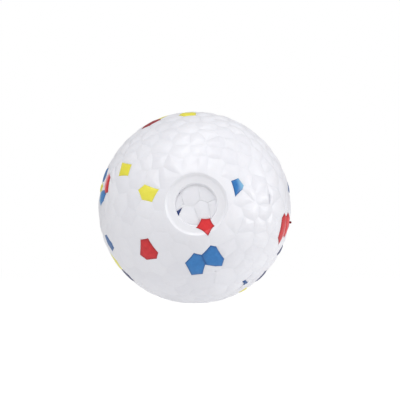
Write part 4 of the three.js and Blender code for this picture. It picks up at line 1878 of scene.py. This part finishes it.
@dataclass
class PortFloor:
    """The white beads on the port's floor, and the blue sliver in its corner.

    Attributes:
        net: The cells.
        relief: Shape of the floor's beads.
        corner_relief: Shape of the sliver in the floor's corner.
        corner_lift: Height of the sliver above the port's floor.
        wall_gap: Between the beads and the port's wall.
        wall_reach: Points of a border that are nearer than this to the wall reach it.
        wall_sides: Points of a border along the whole wall.
        step: Length of the steps of a border.
        bow: Of the edge between two beads, as a share of its length.
        upper_weld: Depth of the valleys in the port's upper half, as a share of the lower half's.
        wall_weld: Depth of the valley along the port's wall, as a share of the others.
        upper_from: Height above the port's axis where the valleys start to be shallower.
        upper_span: Height over which they do so.
        upper_lean: Slope of the beads above the port's axis, which face down a little.
        lower_lean: Slope of the beads below it, which face up a little.
        fall_width: Of the strip along the wall in which the upper beads fall away to it.
        fall_slope: Slope of that strip at the wall, at the top of the port.
        seed: Of the beads' unevenness and tones.
    """

    net: BeadNet
    relief: Relief
    corner_relief: Relief
    corner_lift: float = 0.45
    wall_gap: float = 0.02
    wall_reach: float = 0.3
    wall_sides: int = 96
    step: float = 0.35
    bow: float = 0.04
    upper_weld: float = 0.1
    wall_weld: float = 0.15
    upper_from: float = -0.6
    upper_span: float = 2.0
    upper_lean: float = 0.015
    lower_lean: float = -0.05
    fall_width: float = 1.8
    fall_slope: float = -0.45
    seed: int = 9

    def build(
        self, tree: BeadTree, seeds: BeadSeeds, port_beads: tuple[Bead, ...], dresser: Dresser
    ) -> None:
        """Makes the beads.

        Args:
            tree: Raises the beads.
            seeds: Where the beads lie.
            port_beads: The white ones.
            dresser: Their finishes.
        """
        lumps = [
            (bead, self._share_of_floor(bead, port_beads), bead.lift, self.relief) for bead in port_beads
        ]
        corner = BEADS["blue_bead_port_corner"]
        border = stepped(seeds.outlines[corner.name], self.net.sizes.radius, self.step, self.bow)
        lumps.append((corner, border, self.corner_lift, self.corner_relief))
        for number, (bead, border, lift, relief) in enumerate(lumps):
            out = self.net.sizes.port_floor + lift
            piece = self._lump(tree, bead, border, out, relief, dresser, number)
            dresser.hand_in(piece, bead.name, bead.colour)

    def _share_of_floor(self, bead: Bead, port_beads: tuple[Bead, ...]) -> Array:
        """Directions round the part of the floor that is nearest to one bead.

        Args:
            bead: The bead.
            port_beads: All the beads on the floor.

        Returns:
            The border in short steps, anticlockwise from outside, bowed towards the lower neighbours.
        """
        sizes = self.net.sizes
        turns = np.linspace(0, 2 * math.pi, self.wall_sides, endpoint=False)
        border = [(float(np.cos(turn)), float(np.sin(turn)), None) for turn in turns]
        own = np.array(bead.in_port)
        for other in port_beads:
            if other is not bead:
                border = self._nearer_part(border, own, np.array(other.in_port), other)
        places = []
        for (x, z, across), (after_x, after_z, _) in zip(border, border[1:] + border[:1]):
            first, last = np.array([x, z]), np.array([after_x, after_z])
            steps = max(1, round(float(np.linalg.norm(last - first)) * sizes.floor_radius / self.step))
            bulge = np.zeros(2)
            if across:
                side = math.copysign(1.0, bead.lift - across.lift) if bead.lift != across.lift else 0.0
                bulge = np.array([last[1] - first[1], first[0] - last[0]]) * side * self.bow
            for step in range(steps):
                t = step / steps
                places.append(first * (1 - t) + last * t + bulge * 4 * t * (1 - t))
        flat = np.array(places) * sizes.floor_radius
        return unit(np.stack([flat[:, 0], np.full(len(flat), -sizes.port_floor), flat[:, 1]], axis=1))

    @staticmethod
    def _nearer_part(
        border: list[tuple[float, float, Bead | None]], own: Array, there: Array, other: Bead
    ) -> list[tuple[float, float, Bead | None]]:
        """The part of a border that is nearer to one place than to another.

        Args:
            border: Places, each with the neighbour across the edge that starts there.
            own: The one place.
            there: The other place.
            other: The bead at the other place.

        Returns:
            The part, in the same form.
        """
        between = there - own
        level = float((there + own) @ between) / 2
        kept = []
        for here, after in zip(border, border[1:] + border[:1]):
            low = float(np.array(here[:2]) @ between) - level
            high = float(np.array(after[:2]) @ between) - level
            if low <= 0:
                kept.append(here)
            if (low <= 0) != (high <= 0):
                t = low / (low - high)
                x, z = (here[k] * (1 - t) + after[k] * t for k in range(2))
                kept.append((x, z, other if low <= 0 else here[2]))
        return kept

    def _lump(
        self,
        tree: BeadTree,
        bead: Bead,
        border: Array,
        out: float,
        relief: Relief,
        dresser: Dresser,
        number: int,
    ) -> Piece:
        """One rounded bead on the floor, which reaches the port's wall where no other lies before it.

        Args:
            tree: Raises it.
            bead: What it is.
            border: Directions of its border's points.
            out: Distance of its face from the ball's centre.
            relief: Its shape.
            dresser: Its finishes.
            number: Of the bead.

        Returns:
            The piece.
        """
        sizes = self.net.sizes
        places = border * (out / -border[:, 1:2])
        level = float(places[:, 2].mean())
        up_wall = (out + self._rise(places, level) - sizes.port_floor) / sizes.port_drop
        reach = sizes.floor_radius + up_wall * sizes.port_wall_width - self.wall_gap
        off_axis = np.hypot(places[:, 0], places[:, 2])
        at_wall = off_axis > reach - self.wall_reach
        pull = np.where(at_wall, reach / np.maximum(off_axis, NO_LENGTH), 1.0)
        places[:, 0] *= pull
        places[:, 2] *= pull
        height = np.clip((places[:, 2] - self.upper_from) / self.upper_span, 0, 1)
        valleys = (1 - (1 - self.upper_weld) * height) * np.where(at_wall, self.wall_weld, 1.0)
        middle, _ = self.net.middle(unit(places))
        mesh = two_sided(bead, places * MM, valleys, middle * (out / -middle[1]) * MM, number)
        material = dresser.materials[bead.colour]
        piece = tree.raise_beads(mesh, f"{bead.name}_foam", relief, out, material, self.seed)
        points = np.empty((len(piece.data.vertices), 3), dtype=np.float32)
        piece.data.vertices.foreach_get("co", points.ravel())
        points[:, 1] -= self._rise(points / MM, level) * MM
        piece.data.vertices.foreach_set("co", points.ravel())
        piece.data.update()
        return piece

    def _rise(self, places: Array, level: float) -> Array:
        """How far a bead's face leans and curves out of its plane.

        Args:
            places: Points of the bead.
            level: Height of its middle.

        Returns:
            The distance towards the front at each point.
        """
        lean = self.upper_lean if level > 0 else self.lower_lean
        radius = self.net.sizes.floor_radius
        into_strip = np.hypot(places[:, 0], places[:, 2]) - (radius - self.fall_width)
        into_strip = np.clip(into_strip, 0, self.fall_width)
        slope = self.fall_slope * np.clip(places[:, 2] / radius, 0, 1)
        return lean * (places[:, 2] - level) + slope * into_strip**2 / (2 * self.fall_width)


@dataclass
class EdgeBead:
    """The red bead that the port's wall and ledge cut through.

    Attributes:
        sizes: The ball.
        segment: Length of the steps of its border.
        bow: Of its edges, as a share of their length.
        over: How far it goes beyond the ball before it is cut.
        root: How far it goes below the port's floor.
        stand: How far it stands out of the port's walls.
        floor: How far it stands above the port's floor.
        slope: Radius at which its slope from the ledge reaches that height.
        tone: How light it is, from the darkest to the lightest of its foam; beyond the lightest it is
            painted light that lifts the shade of the port.
        border: Width of the painted shade along its outline.
        step: Longest edge of its mesh.
        rounds: Most times that an edge of it is halved.
        facing: Faces of it that face the front more than this are divided.
        speck: Edges of it that are shorter than this are closed up.
    """

    sizes: BallSizes
    segment: float = 0.5
    bow: float = 0.07
    over: float = 1.0
    root: float = 2.4
    stand: float = 0.06
    floor: float = 0.75
    slope: float = 4.2
    tone: float = 1.2
    border: float = 0.8
    step: float = 0.3
    rounds: int = 5
    facing: float = -0.5
    speck: float = 0.002

    def build(self, seeds: BeadSeeds, port: PortCut, dresser: Dresser) -> None:
        """Makes the bead.

        Args:
            seeds: Where the beads lie.
            port: The space of the port.
            dresser: Its finishes.
        """
        sizes = self.sizes
        bead = BEADS["red_bead_port_edge"]
        border = stepped(seeds.outlines[bead.name], sizes.radius, self.segment, self.bow)
        count = len(border)
        top, tip = (sizes.radius + self.over) * MM, (sizes.port_floor - self.root) * MM
        points = np.concatenate([border * top, border * tip])
        faces = [list(range(count)), list(range(2 * count - 1, count - 1, -1))]
        faces.extend([k, k + count, (k + 1) % count + count, (k + 1) % count] for k in range(count))
        mesh = bpy.data.meshes.new(bead.name)
        mesh.from_pydata(points.tolist(), [], faces)
        facing_out(mesh)
        mesh.materials.append(dresser.materials[bead.colour])
        piece = placed(f"{bead.name}_foam", mesh)
        ramp = (self.slope, sizes.port_floor + self.floor)
        cut_out(piece, port.solid("edge_space", off=self.stand, foot=ramp))
        self._mark_border(piece.data, border)
        # Painted light: a tone beyond the foam's lightest lifts the port's shade on this bead.
        tone = piece.data.attributes.new("tone", "FLOAT", "FACE")
        tone.data.foreach_set("value", [self.tone] * len(piece.data.polygons))
        dresser.hand_in(piece, bead.name, bead.colour)

    def _mark_border(self, mesh: Mesh, border: Array) -> None:
        """Divides the red bead's mesh, and marks what lies near its outline for painted shade.

        Args:
            mesh: Of the bead.
            border: Directions of the points of its outline.
        """
        with edited(mesh) as editor:
            bmesh.ops.triangulate(editor, faces=editor.faces)
            for _ in range(self.rounds):
                long = [edge for edge in editor.edges if edge.calc_length() > self.step * MM]
                shown = [e for e in long if any(face.normal.y < self.facing for face in e.link_faces)]
                bmesh.ops.subdivide_edges(editor, edges=shown, cuts=1)
                bmesh.ops.triangulate(editor, faces=editor.faces)
                editor.normal_update()
            bmesh.ops.dissolve_degenerate(editor, dist=self.speck * MM, edges=editor.edges)
        places = unit(np.array([vertex.co for vertex in mesh.vertices]))[:, None]
        along = np.roll(border, -1, axis=0) - border
        share = np.clip(((places - border) * along).sum(axis=2) / (along**2).sum(axis=1), 0, 1)
        gaps = np.linalg.norm(places - border - share[..., None] * along, axis=2).min(axis=1)
        # Painted shade fades in towards the outline.
        near = np.clip(1 - gaps * self.sizes.radius / self.border, 0, 1)
        mesh.attributes.new("border", "FLOAT", "POINT").data.foreach_set("value", near)


def stepped(corners: Array, radius: float, segment: float, bow: float) -> Array:
    """An outline in short steps, with each edge bowed inwards.

    Args:
        corners: Directions of the corners.
        radius: Of the ball.
        segment: Length of a step.
        bow: Of each edge, as a share of its length.

    Returns:
        Directions of the points, anticlockwise from outside.
    """
    middle = unit(corners.sum(axis=0))
    if np.cross(corners[0], corners[1]) @ middle < 0:
        corners = corners[::-1]
    places = []
    for first, last in zip(corners, np.roll(corners, -1, axis=0)):
        places.extend(bowed_edge(first, last, segment / radius, bow))
    return np.array(places)


# Studio


@dataclass(frozen=True)
class SoftBox:
    """A soft lamp that faces the ball.

    Attributes:
        name: Of the lamp.
        bearing: Degrees from the front towards the right.
        height: Degrees above the middle.
        distance: From the ball, in metres.
        width: Of the lamp, in metres.
        power: In watts.
    """

    name: str
    bearing: float
    height: float
    distance: float
    width: float
    power: float

    def build(self) -> None:
        """Adds the lamp."""
        lamp = bpy.data.lights.new(self.name, "AREA")
        lamp.shape = "DISK"
        lamp.size = self.width
        lamp.energy = self.power
        face_ball(placed(self.name, lamp), self.bearing, self.height, self.distance)


def face_ball(seen: Piece, bearing: float, height: float, distance: float) -> None:
    """Places a lamp or camera round the ball, facing its centre.

    Args:
        seen: The lamp or camera.
        bearing: Degrees from the front towards the right.
        height: Degrees above the middle.
        distance: From the ball's centre, in metres.
    """
    place = Vector(direction(bearing, height) * distance)
    seen.location = place
    seen.rotation_euler = (-place).to_track_quat("-Z", "Y").to_euler()


@dataclass
class Studio:
    """Floor, light and camera.

    Attributes:
        floor_height: Of the floor, in metres.
        lamps: The soft lamps.
        ambient: Strength of the light from all round.
        camera_distance: From the ball's centre, in metres.
        bearing: Of the camera, in degrees from the front towards the right.
        height: Of the camera, in degrees above the middle.
        lens: Focal length, in millimetres.
        film: Width of the film, in millimetres.
        nearest: Nearest that the camera sees, in metres.
        shift: Of the picture, in picture widths.
        floor_reach: Half of the floor's width, in metres.
        paper: Colour of the floor.
        glow: Strength of the floor's own light, for the ball and for the camera.
        glow_share: How much of the floor is that light, for the ball and for the camera.
    """

    floor_height: float
    lamps: tuple[SoftBox, ...]
    ambient: float = 0.41
    camera_distance: float = 0.6
    bearing: float = -0.8
    height: float = -2.0
    lens: float = 159.9
    film: float = 36.0
    nearest: float = 0.01
    shift: Pair = (0.013, 0.01925)
    floor_reach: float = 6.0
    paper: Triple = (0.9, 0.9, 0.9)
    glow: Pair = (0.935, 1.1)
    glow_share: Pair = (0.72, 0.86)

    def build(self) -> None:
        """Sets up the studio."""
        self._floor()
        self._world()
        for lamp in self.lamps:
            lamp.build()
        self._camera()
        bpy.context.scene.view_settings.view_transform = "Standard"

    def _floor(self) -> None:
        """A pale floor that shows white to the camera, with the ball's soft shadow."""
        half = self.floor_reach
        corners = [(-half, -half), (half, -half), (half, half), (-half, half)]
        mesh = bpy.data.meshes.new("floor")
        mesh.from_pydata([(x, y, self.floor_height) for x, y in corners], [], [(0, 1, 2, 3)])
        material = bpy.data.materials.new("pale_floor")
        graph = cleared(material)
        paper = graph.add("ShaderNodeBsdfDiffuse", {"Color": (*self.paper, 1.0)}).outputs[0]
        seen = graph.add("ShaderNodeLightPath").outputs["Is Camera Ray"]
        light = {"Color": (1, 1, 1, 1), "Strength": graph.either(seen, *self.glow)}
        white = graph.add("ShaderNodeEmission", light).outputs[0]
        share = graph.either(seen, *self.glow_share)
        mixed = graph.add("ShaderNodeMixShader", {0: share, 1: paper, 2: white}).outputs[0]
        graph.add("ShaderNodeOutputMaterial", {"Surface": mixed})
        mesh.materials.append(material)
        floor = placed("floor", mesh)
        floor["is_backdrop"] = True

    def _world(self) -> None:
        """Even light from all round, which the camera sees as white."""
        world = bpy.data.worlds.new("studio")
        graph = cleared(world)
        seen = graph.add("ShaderNodeLightPath").outputs["Is Camera Ray"]
        light = {"Color": (1, 1, 1, 1), "Strength": graph.either(seen, self.ambient, 1.0)}
        graph.add("ShaderNodeOutputWorld", {"Surface": graph.add("ShaderNodeBackground", light).outputs[0]})
        bpy.context.scene.world = world

    def _camera(self) -> None:
        """The photograph's camera."""
        lens = bpy.data.cameras.new("photo_camera")
        lens.lens = self.lens
        lens.sensor_width = self.film
        lens.shift_x, lens.shift_y = self.shift
        lens.clip_start = self.nearest
        camera = placed("photo_camera", lens)
        face_ball(camera, self.bearing, self.height, self.camera_distance)
        bpy.context.scene.camera = camera


COLOURED_RELIEF = Relief(sharpness=4.0)
SLIVER_RELIEF = Relief(groove=0.2, dome=0.1, root=2.5, flat=True)
LUMP_RELIEF = replace(SLIVER_RELIEF, sharpness=1.5, unevenness=0.04, waist=0.95, tip=0.85)

LAMPS = (
    SoftBox("key", bearing=-24, height=45, distance=0.9, width=0.5, power=2.4),
    SoftBox("top", bearing=0, height=70, distance=0.9, width=0.5, power=2.4),
    SoftBox("right", bearing=80, height=2, distance=0.9, width=0.5, power=4.1),
)


def main() -> None:
    """Builds the ball and the studio."""
    logging.basicConfig(level=logging.INFO, format="%(name)s: %(message)s")
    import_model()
    cad_low, cad_high = (Vector(corner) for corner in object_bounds())
    sizes = BallSizes()
    seeds = BeadSeeds(sizes, COLOURED_BEADS, PORT_BEADS)
    net = BeadNet(sizes)
    net.build(seeds, SURFACE_BEADS)
    LOG.info("%d seeds, %d cells, %d border points", len(seeds.seeds), len(net.cells), len(net.points))

    dresser = Dresser()
    tree = BeadTree()
    port = PortCut(sizes)
    mass = BeadMass(net, Relief(root=sizes.bead_depth + sizes.weld_gap), rest=cad_low.z / MM)
    mass.build(tree, port, dresser)
    ColouredBeads(net, COLOURED_RELIEF).build(tree, SURFACE_BEADS, mass.valleys(), dresser)
    PortFloor(net, LUMP_RELIEF, SLIVER_RELIEF).build(tree, seeds, PORT_BEADS, dresser)
    EdgeBead(sizes).build(seeds, port, dresser)

    Studio(cad_low.z, LAMPS).build()


if __name__ == "__main__":
    main()
